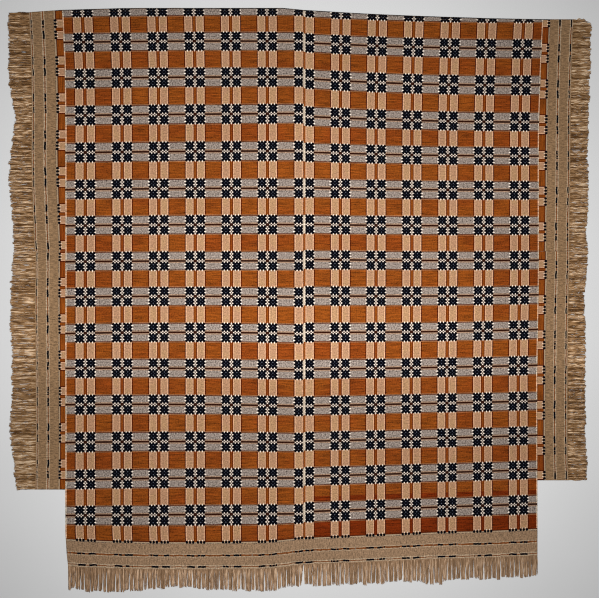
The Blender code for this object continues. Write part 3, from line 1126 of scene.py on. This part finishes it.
def soften(values: Grid, times: int) -> Grid:
    """A grid of heights with each point moved towards its neighbours' mean.

    Args:
        values: The heights.
        times: How often.

    Returns:
        The softened heights.
    """
    for _ in range(times):
        padded = np.pad(values, 1, mode="edge")
        around = padded[:-2, 1:-1] + padded[2:, 1:-1] + padded[1:-1, :-2] + padded[1:-1, 2:]
        values = (values + around / 4.0) / 2.0
    return values


def ripples(x: Grid, y: Grid, seed: int, size: float, waves: int = 9) -> Grid:
    """Soft unevenness from about -1 to 1: a sum of a few slanted waves.

    Args:
        x: The points' x.
        y: Their y.
        seed: The fixed seed.
        size: The usual distance from crest to crest.
        waves: How many waves make it up.

    Returns:
        The unevenness at each point.
    """
    rng = np.random.default_rng(seed)
    total = np.zeros(x.shape)
    for _ in range(waves):
        angle, length = rng.uniform(0, math.tau), size * rng.uniform(*CREST_SPREAD)
        phase = rng.uniform(0, math.tau)
        total += np.sin(math.tau * (x * math.cos(angle) + y * math.sin(angle)) / length + phase)
    return total / USUAL_PEAK


class Outline:
    """The four sides of a CAD piece, seen from above, and the height of its underside."""

    LEAST_SLOPE, MERGED, INWARD, SOFTENING = 0.3, 1e-6, 1e-4, 24

    def __init__(self, node: str) -> None:
        """Reads the sides of a node.

        Args:
            node: The node's name.
        """
        bm = bmesh.new()
        bm.from_mesh(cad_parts[node].data)
        bmesh.ops.remove_doubles(bm, verts=bm.verts, dist=self.MERGED)
        bm.normal_update()
        self.under = BVHTree.FromBMesh(bm)
        steep = [f for f in bm.faces if f.normal.z < self.LEAST_SLOPE]
        bmesh.ops.delete(bm, geom=steep, context="FACES")
        ring = self.in_order([e for e in bm.edges if len(e.link_faces) == 1])
        bm.free()
        (x0, y0), (x1, y1) = ring.min(0), ring.max(0)
        a, b, c, d = (
            int(np.argmin(np.abs(ring - np.array(corner)).sum(1)))
            for corner in ((x0, y0), (x1, y0), (x1, y1), (x0, y1))
        )
        self.foot, self.head = self.side(ring, a, b, 0), self.side(ring, c, d, 0)
        self.right, self.left = self.side(ring, b, c, 1), self.side(ring, d, a, 1)

    @staticmethod
    def in_order(rim: Sequence[bmesh.types.BMEdge]) -> Grid:
        """Walks once round the rim.

        Args:
            rim: The rim's edges.

        Returns:
            The rim's points in order.
        """
        edge, vert = rim[0], rim[0].verts[0]
        points, allowed = [], set(rim)
        while edge is not None:
            allowed.discard(edge)
            points.append((vert.co.x, vert.co.y))
            vert = edge.other_vert(vert)
            edge = next((e for e in vert.link_edges if e in allowed), None)
        return np.array(points)

    @staticmethod
    def side(ring: Grid, start: int, end: int, order: int) -> Grid:
        """The shorter way round between two corners.

        Args:
            ring: The points once round.
            start: One corner's place in the ring.
            end: The other corner's place.
            order: The axis that the points are sorted along.

        Returns:
            The side's points.
        """
        count = len(ring)
        forward = [(start + i) % count for i in range((end - start) % count + 1)]
        backward = [(start - i) % count for i in range((start - end) % count + 1)]
        points = ring[min(forward, backward, key=lambda way: np.abs(np.diff(ring[way], axis=0)).sum())]
        return points[np.argsort(points[:, order])]

    def x_at(self, side: Grid, y: Grid) -> Grid:
        """A side's x at heights."""
        return np.interp(y, side[:, 1], side[:, 0])

    def y_at(self, side: Grid, x: Grid) -> Grid:
        """An end's y at places across."""
        return np.interp(x, side[:, 0], side[:, 1])

    def lift(self, x: Grid, y: Grid) -> Grid:
        """How far the underside stands off the floor at each point.

        Args:
            x: The points' x.
            y: Their y.

        Returns:
            The heights, softened.
        """
        heights, middle = np.zeros(x.shape), np.array((x.mean(), y.mean()))
        for index in np.ndindex(x.shape):
            place = np.array((x[index], y[index]))
            place += (middle - place) * self.INWARD
            hit = self.under.ray_cast(Vector((*place, -1.0)), Vector((0.0, 0.0, 1.0)))[0]
            heights[index] = hit.z if hit else 0.0
        return soften(heights, self.SOFTENING)


def shell_mesh(name: str, top: Grid, bottom: Grid, blocks: Grid) -> Mesh:
    """A closed sheet from a grid: its top, its underside and its rim.

    Args:
        name: The mesh's name.
        top: The top's points, by row and column.
        bottom: The underside's points.
        blocks: The place of each point, in blocks across and down.

    Returns:
        The mesh, with the underside on its second material.
    """
    rows, columns = top.shape[:2]
    count = rows * columns
    index = np.arange(count).reshape(rows, columns)
    a, b, c, d = index[:-1, :-1], index[:-1, 1:], index[1:, 1:], index[1:, :-1]
    upper = np.stack((a, b, c, d), -1).reshape(-1, 4)
    lower = np.stack((d, c, b, a), -1).reshape(-1, 4) + count
    ring = np.concatenate((index[0, :], index[1:, -1], index[-1, -2::-1], index[-2:0:-1, 0]))
    after = np.roll(ring, -1)
    faces = np.concatenate((upper, lower, np.stack((ring, ring + count, after + count, after), -1)))
    which = np.zeros(len(faces), np.int32)
    which[len(upper):len(upper) + len(lower)] = 1
    mesh = bpy.data.meshes.new(name)
    mesh.vertices.add(2 * count)
    mesh.vertices.foreach_set("co", np.stack((top, bottom)).astype(np.float32).ravel())
    mesh.loops.add(faces.size)
    mesh.loops.foreach_set("vertex_index", faces.astype(np.int32).ravel())
    mesh.polygons.add(len(faces))
    mesh.polygons.foreach_set("loop_start", np.arange(0, faces.size, 4, dtype=np.int32))
    mesh.polygons.foreach_set("material_index", which)
    mesh.update(calc_edges=True)
    mesh.validate()
    places = np.tile(blocks.reshape(-1, 2), (2, 1))
    layer = mesh.uv_layers.new(name=MAP_NAME, do_init=False)
    layer.uv.foreach_set("vector", places[faces.ravel()].astype(np.float32).ravel())
    mesh.shade_smooth()
    mesh.set_sharp_from_angle(angle=SHARP_ANGLE)
    return mesh


@dataclass
class Woven:
    """A woven piece: a closed sheet between its CAD outline's sides, with its map of blocks."""

    name: str
    node: str
    side: Side
    flat: Pair
    hem_at_head: bool
    thickness: float = 0.002
    hem_depth: float = 0.014
    hem_edge: float = 0.003
    hem_rise: float = 0.0015
    hem_fall: float = 0.6
    hem_rows: Sequence[float] = (0.0, 0.0022, 0.006, 0.0105, 0.0135, 0.018)
    rim_width: float = 0.0022
    fold_width: float = 0.0045
    cell: float = 0.0078
    ripple: float = 0.0011
    ripple_kinds: Sequence[tuple[int, float, float]] = ((5, 0.16, 0.6), (6, 0.07, 0.3))
    pocket: float = 0.0006
    side_pocket: float = 0.6
    star_pocket: float = 0.8
    outline: Outline = field(init=False)
    face: BVHTree = field(init=False)

    FOLD = "fold"

    def __post_init__(self) -> None:
        """Reads the outline."""
        self.outline = Outline(self.node)

    @property
    def sides(self) -> tuple[Grid, Grid]:
        """The outline's outer side, and the side nearer to the centre seam."""
        o = self.outline
        return (o.left, o.right) if self.side is Side.LEFT else (o.right, o.left)

    def blocks(self, x: Grid, y: Grid) -> tuple[Grid, Grid]:
        """The place in blocks, across and down, of points of the cloth."""
        raise NotImplementedError

    def rows(self, length: float) -> Grid:
        """Shares of the length for the grid's rows, closer together at the hem.

        Args:
            length: The length.

        Returns:
            The shares, from the foot up.
        """
        near_hem = np.array(self.hem_rows) / length
        rest = np.linspace(near_hem[-1], 1.0, math.ceil(length / self.cell))[1:]
        from_hem = np.concatenate((near_hem, rest))
        return 1.0 - from_hem[::-1] if self.hem_at_head else from_hem

    def grid(self) -> tuple[Grid, Grid]:
        """Spreads points evenly between the four sides.

        Returns:
            Their x and their y, by row and column.
        """
        o = self.outline
        t = self.rows(np.ptp(o.left[:, 1]))[:, None]
        s = np.linspace(0.0, 1.0, math.ceil(np.ptp(o.foot[:, 0]) / self.cell) + 1)[None, :]
        left_y, right_y = (side[0, 1] + np.ptp(side[:, 1]) * t for side in (o.left, o.right))
        left_x, right_x = o.x_at(o.left, left_y), o.x_at(o.right, right_y)
        x, y = left_x + (right_x - left_x) * s, left_y + (right_y - left_y) * s
        return x, y + t * (o.y_at(o.head, x) - y[-1]) + (1.0 - t) * (o.y_at(o.foot, x) - y[0])

    @staticmethod
    def domes(place: Grid, period: float, gap: float) -> list[Grid]:
        """How far up the pockets stand across one direction.

        Args:
            place: Places in blocks.
            period: Blocks from one pair of stars to the next.
            gap: The width of the gap inside a pair.

        Returns:
            The share of its height for a star's pocket and for a wide block's.
        """
        at = np.abs((place + period / 2) % period - period / 2)
        edges = (gap / 2, gap / 2 + DRAFT.star, period - gap / 2 - DRAFT.star)
        shares = [np.clip((at - low) / (high - low), 0.0, 1.0) for low, high in zip(edges, edges[1:])]
        return [np.sin(math.pi * share) ** 0.5 for share in shares]

    def relief(self, u: Grid, v: Grid) -> Grid:
        """How the pockets between the two layers stand up inside each block of the pattern.

        Args:
            u: Places across, in blocks.
            v: Places down, in blocks.

        Returns:
            The heights.
        """
        star_a, wide_a = self.domes(u, DRAFT.across, DRAFT.gap_across)
        star_b, wide_b = self.domes(v, DRAFT.down, DRAFT.gap_down)
        sides = self.side_pocket * (star_a * wide_b + wide_a * star_b)
        pockets = wide_a * wide_b + sides + self.star_pocket * star_a * star_b
        return pockets * (v < DRAFT.end - DRAFT.dots) * self.pocket

    def build(self, front: Material, back: Material) -> Piece:
        """Builds and dresses the piece.

        Args:
            front: The face's material.
            back: The underside's material.

        Returns:
            The piece.
        """
        x, y = self.grid()
        u, v = self.blocks(x, y)
        o = self.outline
        long, short = (ripples(x, y, seed, size) * share for seed, size, share in self.ripple_kinds)
        wavy = np.clip(long + short, 0.0, None)
        under = o.lift(x, y) + self.ripple * soften(wavy, 3)
        inward = o.y_at(o.head, x) - y if self.hem_at_head else y - o.y_at(o.foot, x)
        hem = np.clip((self.hem_depth - inward) / self.hem_edge, 0.0, 1.0)
        rim = np.clip(1.0 - inward / self.rim_width, 0.0, 1.0)
        raised = self.hem_rise * hem * (1.0 - self.hem_fall * rim)
        over = under + self.thickness + raised + self.relief(u, v)
        top, bottom, blocks = (np.stack(grids, -1) for grids in ((x, y, over), (x, y, under), (u, v)))
        mesh = shell_mesh(self.name, top, bottom, blocks)
        # Marks the strip along the hem's edge where the painted shadow goes.
        carry(mesh, self.FOLD, np.tile(np.clip(1.0 - inward / self.fold_width, 0.0, 1.0).ravel(), 2))
        mesh.materials.append(front)
        mesh.materials.append(back)
        places, faces = [v.co for v in mesh.vertices], [p.vertices for p in mesh.polygons]
        self.face = BVHTree.FromPolygons(places, faces)
        piece = new_piece(mesh, self.name)
        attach(piece, BODY)
        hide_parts(self.node)
        return piece


@dataclass(frozen=True)
class WeftLine:
    """Where the middle of a row of star pairs crosses a panel: y at its outer side, middle and seam."""

    pair: int
    outer: float
    middle: float
    seam: float


@dataclass(frozen=True)
class WovenEnd:
    """Where the lines of the plain tan end lie, as distances in from the root of the fringe."""

    pattern: float
    first_line: float
    second_line: float

    def down(self, inward: Grid) -> Grid:
        """The V at distances in from the root of the fringe."""
        places = (0.0, self.second_line, self.first_line, self.pattern)
        past_end = (DRAFT.plain_end, DRAFT.second_line, DRAFT.first_line, 0.0)
        return DRAFT.end + np.interp(inward, places, past_end)


@dataclass
class Panel(Woven):
    """A loom-width panel, from its outer selvedge to the centre seam."""

    lines: Sequence[WeftLine] = ()
    end: WovenEnd = WovenEnd(0.1015, 0.053, 0.0105)
    blocks_across: float = 150.2
    drift: Sequence[Pair] = (
        (0.0, 0.60),
        (0.04, 0.28),
        (0.13, 0.13),
        (0.4, 0.64),
        (0.67, 0.7),
        (0.9, 0.35),
        (1.0, 0.2),
    )

    def blocks(self, x: Grid, y: Grid) -> tuple[Grid, Grid]:
        """Finds points' places in blocks.

        Args:
            x: The points' x.
            y: Their y.

        Returns:
            Their places across, from the seam, and down, from the first pair.
        """
        outer_x, seam_x = (self.outline.x_at(side, y) for side in self.sides)
        share = (x - seam_x) / (outer_x - seam_x)
        at, extra = zip(*self.drift)
        return share * self.blocks_across + np.interp(share, at, extra), self.down(x, y, share)

    def down(self, x: Grid, y: Grid, share: Grid) -> Grid:
        """Finds points' places down, along the rows of star pairs and then the plain end.

        Args:
            x: The points' x.
            y: Their y.
            share: Their share of the way from the seam to the outer side.

        Returns:
            Their V.
        """
        spots = np.array([(line.pair, line.seam, line.middle, line.outer) for line in self.lines])
        pairs, seam, middle, outer = spots.T
        slope, bow = 4 * middle - 3 * seam - outer, 2 * (seam + outer) - 4 * middle
        at = np.append(pairs * DRAFT.down, DRAFT.end)
        foot = self.outline.y_at(self.outline.foot, x)
        values = np.empty_like(y)
        for column, s in enumerate(share.mean(0)):
            ends_at = foot[:, column].mean() + self.end.pattern
            ys = np.append(seam + slope * s + bow * s * s, ends_at)
            values[:, column] = np.interp(-y[:, column], -ys, at)
        return np.where(y - foot < self.end.pattern, self.end.down(y - foot), values)


@dataclass
class Band(Woven):
    """One length of a side band, cut from a woven end and turned to lie along the side."""

    first_pair_y: float = 0.0
    last_pair_y: float = 1.0
    end: WovenEnd = WovenEnd(0.103, 0.052, 0.006)
    pairs: int = 6
    first_pair: int = 20
    strip: float = 4.3

    def blocks(self, x: Grid, y: Grid) -> tuple[Grid, Grid]:
        """Finds points' places in blocks.

        Args:
            x: The points' x.
            y: Their y.

        Returns:
            Their places across, which run along the band, and down, which run out to the fringe.
        """
        edge, seam = (self.outline.x_at(side, y) for side in self.sides)
        inward, width = np.abs(x - edge), np.abs(seam - edge)
        along = (y - self.first_pair_y) / (self.last_pair_y - self.first_pair_y)
        strip = (inward - self.end.pattern) / (width - self.end.pattern)
        down = np.where(inward > self.end.pattern, DRAFT.end - strip * self.strip, self.end.down(inward))
        return (along * self.pairs + self.first_pair) * DRAFT.across, down


@dataclass
class Fringe:
    """The warp ends left along one edge of a woven piece."""

    name: str
    node: str
    side: Side
    cloth: Woven
    seed: int
    pitch: float = 0.00066
    yarn_radius: float = 0.00085
    lock_pitch: float = 0.009
    bundles: float = 2.0
    clump: float = 0.04
    crimp: float = 0.0078
    crimp_rate: float = 4.4
    lean: float = 0.3
    ragged: float = 0.14
    longer: float = 0.005
    depth: float = 0.0042
    root_height: float = 0.0006
    solid_lock: float = 0.019
    end_gap: float = 0.0008
    root_points: int = 160

    def tips(self) -> Grid:
        """How far out the locks of the CAD node reach.

        Returns:
            Places along the edge, and the reach at each.
        """
        points = np.array([tuple(v.co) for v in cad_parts[self.node].data.vertices])
        along, out = points @ np.array(self.side.along), points @ np.array(self.side.out)
        bins = np.floor((along - along.min()) / self.solid_lock).astype(int)
        return np.array([(along[bins == b].mean(), out[bins == b].max()) for b in np.unique(bins)]).T

    def root_line(self) -> Grid:
        """The cloth's edge that the fringe grows from."""
        return self.cloth.outline.foot if self.side is Side.FOOT else self.cloth.sides[0]

    def build(self, tree: YarnTree, yarn: Material) -> Piece:
        """Grows and dresses the fringe.

        Args:
            tree: The Geometry Nodes tree for yarns.
            yarn: The yarn's material.

        Returns:
            The piece.
        """
        edge, ways = self.root_line(), (self.side.along, self.side.out)
        along, out = (edge @ np.array(way)[:2] for way in ways)
        order = np.argsort(along)
        places = np.linspace(along.min() + self.end_gap, along.max() - self.end_gap, self.root_points)
        roots = np.interp(places, along[order], out[order])
        reach = np.interp(places, *self.tips()) - roots + self.longer
        points = np.outer(places, ways[0]) + np.outer(roots, ways[1])
        others = {"Out": tuple(self.side.out), "Along": tuple(self.side.along), "Material": yarn}
        piece = tree.grow(self, line_mesh(self.name, points, reach), others)
        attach(piece, BODY)
        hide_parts(self.node)
        return piece


@dataclass(frozen=True)
class Stitch:
    """A kind of stitch: its pitch, and its length along and across the line."""

    pitch: float
    along: float
    across: float


@dataclass
class Seam:
    """A row of hand stitches along a line of the cloth's face."""

    name: str
    points: Grid
    pitch: float
    along: float
    across: float
    rise: float = 0.0006
    thread_radius: float = 0.00045
    seed: int = 3

    def build(self, tree: StitchTree, thread: Material) -> Piece:
        """Sews the stitches.

        Args:
            tree: The Geometry Nodes tree for stitches.
            thread: The thread's material.

        Returns:
            The piece.
        """
        piece = tree.grow(self, line_mesh(self.name, self.points), {"Material": thread})
        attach(piece, BODY)
        return piece


@dataclass(frozen=True)
class Lamp:
    """A large soft round light that points at the middle of the coverlet."""

    name: str
    place: tuple[float, float, float]
    size: float
    power: float

    def hang(self) -> None:
        """Adds the light to the scene."""
        data = bpy.data.lights.new(self.name, "AREA")
        data.shape = "DISK"
        data.size = self.size
        data.energy = self.power
        lamp = bpy.data.objects.new(self.name, data)
        lamp.location = self.place
        lamp.rotation_mode = "QUATERNION"
        lamp.rotation_quaternion = (-Vector(self.place)).to_track_quat("-Z", "Y")
        bpy.context.scene.collection.objects.link(lamp)


@dataclass
class Studio:
    """The floor, the lights and the camera that looks straight down."""

    photo: tuple[int, int] = (599, 598)
    pixel: float = 0.0038
    lens: float = 85.0
    sensor: float = 36.0
    off_middle: Pair = (-0.0008, 0.0015)
    floor_reach: float = 14.0
    sky: float = 0.13
    lamps: Sequence[Lamp] = (
        Lamp("key", (0.05, 0.04, 1.95), 0.9, 42.8),
        Lamp("side", (-1.4, 0.9, 2.4), 1.2, 4.5),
    )

    def build(self, floor: Material) -> None:
        """Sets up the floor, lights and camera.

        Args:
            floor: The floor's material.
        """
        mesh = bpy.data.meshes.new("floor")
        r = self.floor_reach
        corners = [(-r, -r, 0.0), (r, -r, 0.0), (r, r, 0.0), (-r, r, 0.0)]
        mesh.from_pydata(corners, [], [(0, 1, 2, 3)])
        mesh.materials.append(floor)
        new_piece(mesh, "floor")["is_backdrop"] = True
        self.camera()
        for lamp in self.lamps:
            lamp.hang()
        world = bpy.data.worlds.new("studio")
        world.use_nodes = True
        background = world.node_tree.nodes["Background"]
        background.inputs["Color"].default_value = rgb(1.0, 1.0, 1.0)
        background.inputs["Strength"].default_value = self.sky
        bpy.context.scene.world = world

    def camera(self) -> None:
        """Puts the camera above the middle, as far up as the lens needs to see the photo's width."""
        data = bpy.data.cameras.new("camera")
        data.lens = self.lens
        data.sensor_width = self.sensor
        camera = bpy.data.objects.new("camera", data)
        camera.location = (*self.off_middle, self.photo[0] * self.pixel * self.lens / self.sensor)
        bpy.context.scene.collection.objects.link(camera)
        bpy.context.scene.camera = camera


@dataclass
class Coverlet:
    """The whole coverlet: two panels, four band lengths, their fringe and the sewing."""

    hem_stitches_in: float = 0.0105
    area_share: float = 0.99
    seam_end: float = 0.002
    seam_step: float = 0.015
    seam_width: float = 0.002
    seam_off: float = 0.0002
    cloth_top: float = 0.0026
    clear_of_fringe: float = 0.004
    seam_stitch: Stitch = Stitch(0.0046, 0.0014, 0.0028)
    join_stitch: Stitch = Stitch(0.0045, 0.0014, 0.0040)
    hem_stitch: Stitch = Stitch(0.0075, 0.0030, 0.0002)

    LEFT_LINES = (
        WeftLine(-1, 1.106, 1.111, 1.113),
        WeftLine(0, 0.976, 0.981, 0.980),
        WeftLine(1, 0.837, 0.844, 0.844),
        WeftLine(2, 0.698, 0.703, 0.706),
        WeftLine(4, 0.416, 0.421, 0.422),
        WeftLine(6, 0.143, 0.146, 0.146),
        WeftLine(7, 0.008, 0.012, 0.008),
        WeftLine(8, -0.130, -0.125, -0.131),
        WeftLine(9, -0.262, -0.262, -0.268),
        WeftLine(10, -0.400, -0.399, -0.406),
        WeftLine(11, -0.544, -0.540, -0.544),
        WeftLine(12, -0.686, -0.679, -0.679),
        WeftLine(13, -0.821, -0.817, -0.814),
    )
    RIGHT_LINES = (
        WeftLine(-1, 1.087, 1.090, 1.108),
        WeftLine(0, 0.952, 0.958, 0.975),
        WeftLine(1, 0.814, 0.818, 0.839),
        WeftLine(2, 0.673, 0.679, 0.695),
        WeftLine(4, 0.415, 0.417, 0.424),
        WeftLine(5, 0.281, 0.280, 0.285),
        WeftLine(6, 0.149, 0.148, 0.152),
        WeftLine(8, -0.114, -0.123, -0.125),
        WeftLine(10, -0.386, -0.396, -0.405),
        WeftLine(11, -0.516, -0.529, -0.539),
        WeftLine(13, -0.777, -0.791, -0.806),
    )

    def __post_init__(self) -> None:
        """Makes the groups, materials and trees that the pieces share."""
        groups = (BlockPattern(DRAFT), ThreadWork(DRAFT), StainsAndPaintedLight())
        face = ClothFinish("left_cloth_face", replace(FRONT, end=rgb(0.348, 0.216, 0.126)), ribs=1.3)
        redder = replace(face, name="right_cloth_face", late_dye=25.0)
        lines = {"first_line": (0.38, 0.66), "second_line": (0.40, 0.50)}
        self.cloth = {Side.LEFT: face.make(*groups), Side.RIGHT: redder.make(*groups)}
        self.reverse = ClothFinish("double_cloth_reverse", BACK).make(*groups)
        self.band = ClothFinish("band_cloth_face", FRONT, speckle=0.9, ribs=1.6, **lines).make(*groups)
        self.yarn, self.foot_yarn, self.thread = (
            YarnFinish(name, rgb(*dark), rgb(*colour), rgb(*light)).make(groups[-1])
            # Each yarn's painted shade, its own colour, and a light colour that is partly paler yarn and
            # partly painted highlight.
            for name, dark, colour, light in (
                ("fringe_yarn", (0.125, 0.055, 0.016), (0.45, 0.252, 0.110), (0.96, 0.72, 0.48)),
                ("foot_fringe_yarn", (0.26, 0.152, 0.080), (0.46, 0.282, 0.160), (0.76, 0.54, 0.36)),
                ("sewing_thread", (0.20, 0.12, 0.06), (0.38, 0.25, 0.14), (0.60, 0.44, 0.30)),
            )
        )
        self.yarns, self.stitches = YarnTree(), StitchTree()

    def panels(self) -> list[Woven]:
        """Plans the two loom-width panels.

        Returns:
            The left one and the right one.
        """
        left = Panel(
            name="left_panel_cloth",
            node="panel_left",
            side=Side.LEFT,
            flat=(0.918, 2.150),
            hem_at_head=True,
            lines=self.LEFT_LINES,
        )
        right = Panel(
            name="right_panel_cloth",
            node="panel_right",
            side=Side.RIGHT,
            flat=(0.910, 2.125),
            hem_at_head=True,
            lines=self.RIGHT_LINES,
            end=WovenEnd(0.099, 0.054, 0.0085),
            blocks_across=150.5,
            drift=((0.0, 0.05), (0.04, -0.42), (0.13, -0.48), (0.4, -0.3), (0.9, -0.3), (1.0, -0.2)),
        )
        return [left, right]

    def bands(self) -> list[Woven]:
        """Plans the four band lengths: each one's flat size, first and last pair, and woven end.

        Returns:
            The band lengths.
        """
        rows = (
            ("left_upper", Side.LEFT, (0.139, 0.928), 0.184, 1.026, WovenEnd(0.0960, 0.052, 0.006)),
            ("left_lower", Side.LEFT, (0.115, 0.917), 0.1824, -0.645, WovenEnd(0.0905, 0.0475, 0.0045)),
            ("right_upper", Side.RIGHT, (0.132, 0.892), 1.0705, 0.2565, WovenEnd(0.0905, 0.051, 0.007)),
            ("right_lower", Side.RIGHT, (0.123, 0.882), -0.688, 0.1136, WovenEnd(0.0880, 0.050, 0.007)),
        )
        return [
            Band(
                name=place + "_band_cloth",
                node="band_" + place,
                side=side,
                flat=flat,
                hem_at_head=place.endswith("upper"),
                first_pair_y=first,
                last_pair_y=last,
                end=end,
            )
            for place, side, flat, first, last, end in rows
        ]

    def fringes(self, panels: Sequence[Woven], bands: Sequence[Woven]) -> list[Fringe]:
        """A fringe for each band length and for each panel's foot.

        Args:
            panels: The panels.
            bands: The band lengths.

        Returns:
            The fringes.
        """
        sides = [
            Fringe(
                name=band.name.replace("band_cloth", "fringe_yarns"),
                node=band.node.replace("band", "fringe"),
                side=band.side,
                cloth=band,
                seed=20 + i,
            )
            for i, band in enumerate(bands)
        ]
        foot = Fringe(
            name="foot_left_fringe_yarns",
            node="fringe_foot_left",
            side=Side.FOOT,
            cloth=panels[0],
            seed=30,
            lock_pitch=0.017,
            bundles=4.2,
            clump=0.25,
            crimp=0.0030,
            lean=1.6,
            ragged=0.22,
            longer=0.010,
        )
        name, node = (text.replace("left", "right") for text in (foot.name, foot.node))
        return [*sides, foot, replace(foot, name=name, node=node, cloth=panels[1], seed=31)]

    def seams(self, panels: Sequence[Woven], bands: Sequence[Woven]) -> list[Seam]:
        """The stitched lines: the centre seam, the bands' seams and joins, and the head hems.

        Args:
            panels: The panels, dressed.
            bands: The band lengths, dressed.

        Returns:
            The seams.
        """
        left, right = (panel.outline for panel in panels)
        upper_left, lower_left, upper_right, lower_right = (band.outline for band in bands)
        lowest = [band.foot[0, 1] + self.clear_of_fringe for band in (lower_left, lower_right)]
        sewn = {
            "centre_seam": left.right,
            "left_band_seam": left.left[left.left[:, 1] > lowest[0]],
            "right_band_seam": right.right[right.right[:, 1] > lowest[1]],
        }
        joined = {"left_band_join": lower_left.head, "right_band_join": lower_right.head}
        heads = (left, right, upper_left, upper_right)
        names = ("left_head_hem", "right_head_hem", "left_band_hem", "right_band_hem")
        inward = np.array((0.0, self.hem_stitches_in))
        hems = {name: outline.head - inward for name, outline in zip(names, heads)}
        faces = [woven.face for woven in (*panels, *bands)]
        kinds = ((sewn, self.seam_stitch), (joined, self.join_stitch), (hems, self.hem_stitch))
        return [
            Seam(name + "_stitches", self.on_cloth(line, faces), *astuple(stitch))
            for lines, stitch in kinds
            for name, line in lines.items()
        ]

    def on_cloth(self, line: Grid, faces: Sequence[BVHTree]) -> Grid:
        """Lays a line on the cloth's face.

        Args:
            line: The line's points, seen from above.
            faces: The faces of the woven pieces.

        Returns:
            Points close together along the line, at the height of the face.
        """
        steps = np.concatenate(([0.0], np.cumsum(np.hypot(*np.diff(line, axis=0).T))))
        count = max(4, int(steps[-1] / self.seam_step))
        even = np.linspace(self.seam_end, steps[-1] - self.seam_end, count)
        x, y = (np.interp(even, steps, line[:, i]) for i in range(2))
        z = np.full_like(x, self.cloth_top)
        both, down = (-self.seam_width, self.seam_width), Vector((0.0, 0.0, -1.0))
        for i, (px, py) in enumerate(zip(x, y)):
            around = [Vector((px + dx, py + dy, 1.0)) for dx in both for dy in both]
            hits = [face.ray_cast(place, down)[0] for face in faces for place in around]
            z[i] = max((hit.z for hit in hits if hit), default=z[i]) + self.seam_off
        return np.stack((x, y, z), -1)

    def build(self) -> Iterator[Piece]:
        """Builds every piece.

        Yields:
            Each piece, once it is dressed.
        """
        panels, bands = self.panels(), self.bands()
        cloths, fringe_of = {}, {}
        for woven in (*panels, *bands):
            is_panel = isinstance(woven, Panel)
            piece = woven.build(self.cloth[woven.side] if is_panel else self.band, self.reverse)
            cloths[woven.node] = (woven, piece)
            yield piece
        for fringe in self.fringes(panels, bands):
            yarn = self.foot_yarn if fringe.side is Side.FOOT else self.yarn
            fringe_of[fringe.cloth.node] = fringe.build(self.yarns, yarn)
            yield fringe_of[fringe.cloth.node]
        for seam in self.seams(panels, bands):
            sewn = seam.build(self.stitches, self.thread)
            yield sewn
        for node, (woven, piece) in cloths.items():
            area = float(np.prod(woven.flat)) * self.area_share


def main() -> None:
    """Builds the coverlet and its setting, reports each piece's triangles, and works out the two boxes."""
    logging.basicConfig(level=logging.INFO, format="%(name)s: %(message)s")
    bpy.context.scene.view_settings.view_transform = "Standard"
    bpy.context.scene.cycles.filter_width = 1.1
    for piece in Coverlet().build():
        LOG.info("%s: %d triangles", piece.name, sum(len(p.vertices) - 2 for p in piece.data.polygons))
    Studio().build(FloorFinish().make())
    boxes = {"cad": CAD_BOX, "visual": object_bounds()}
    {name: [list(corner) for corner in box] for name, box in boxes.items()}


if __name__ == "__main__":
    main()
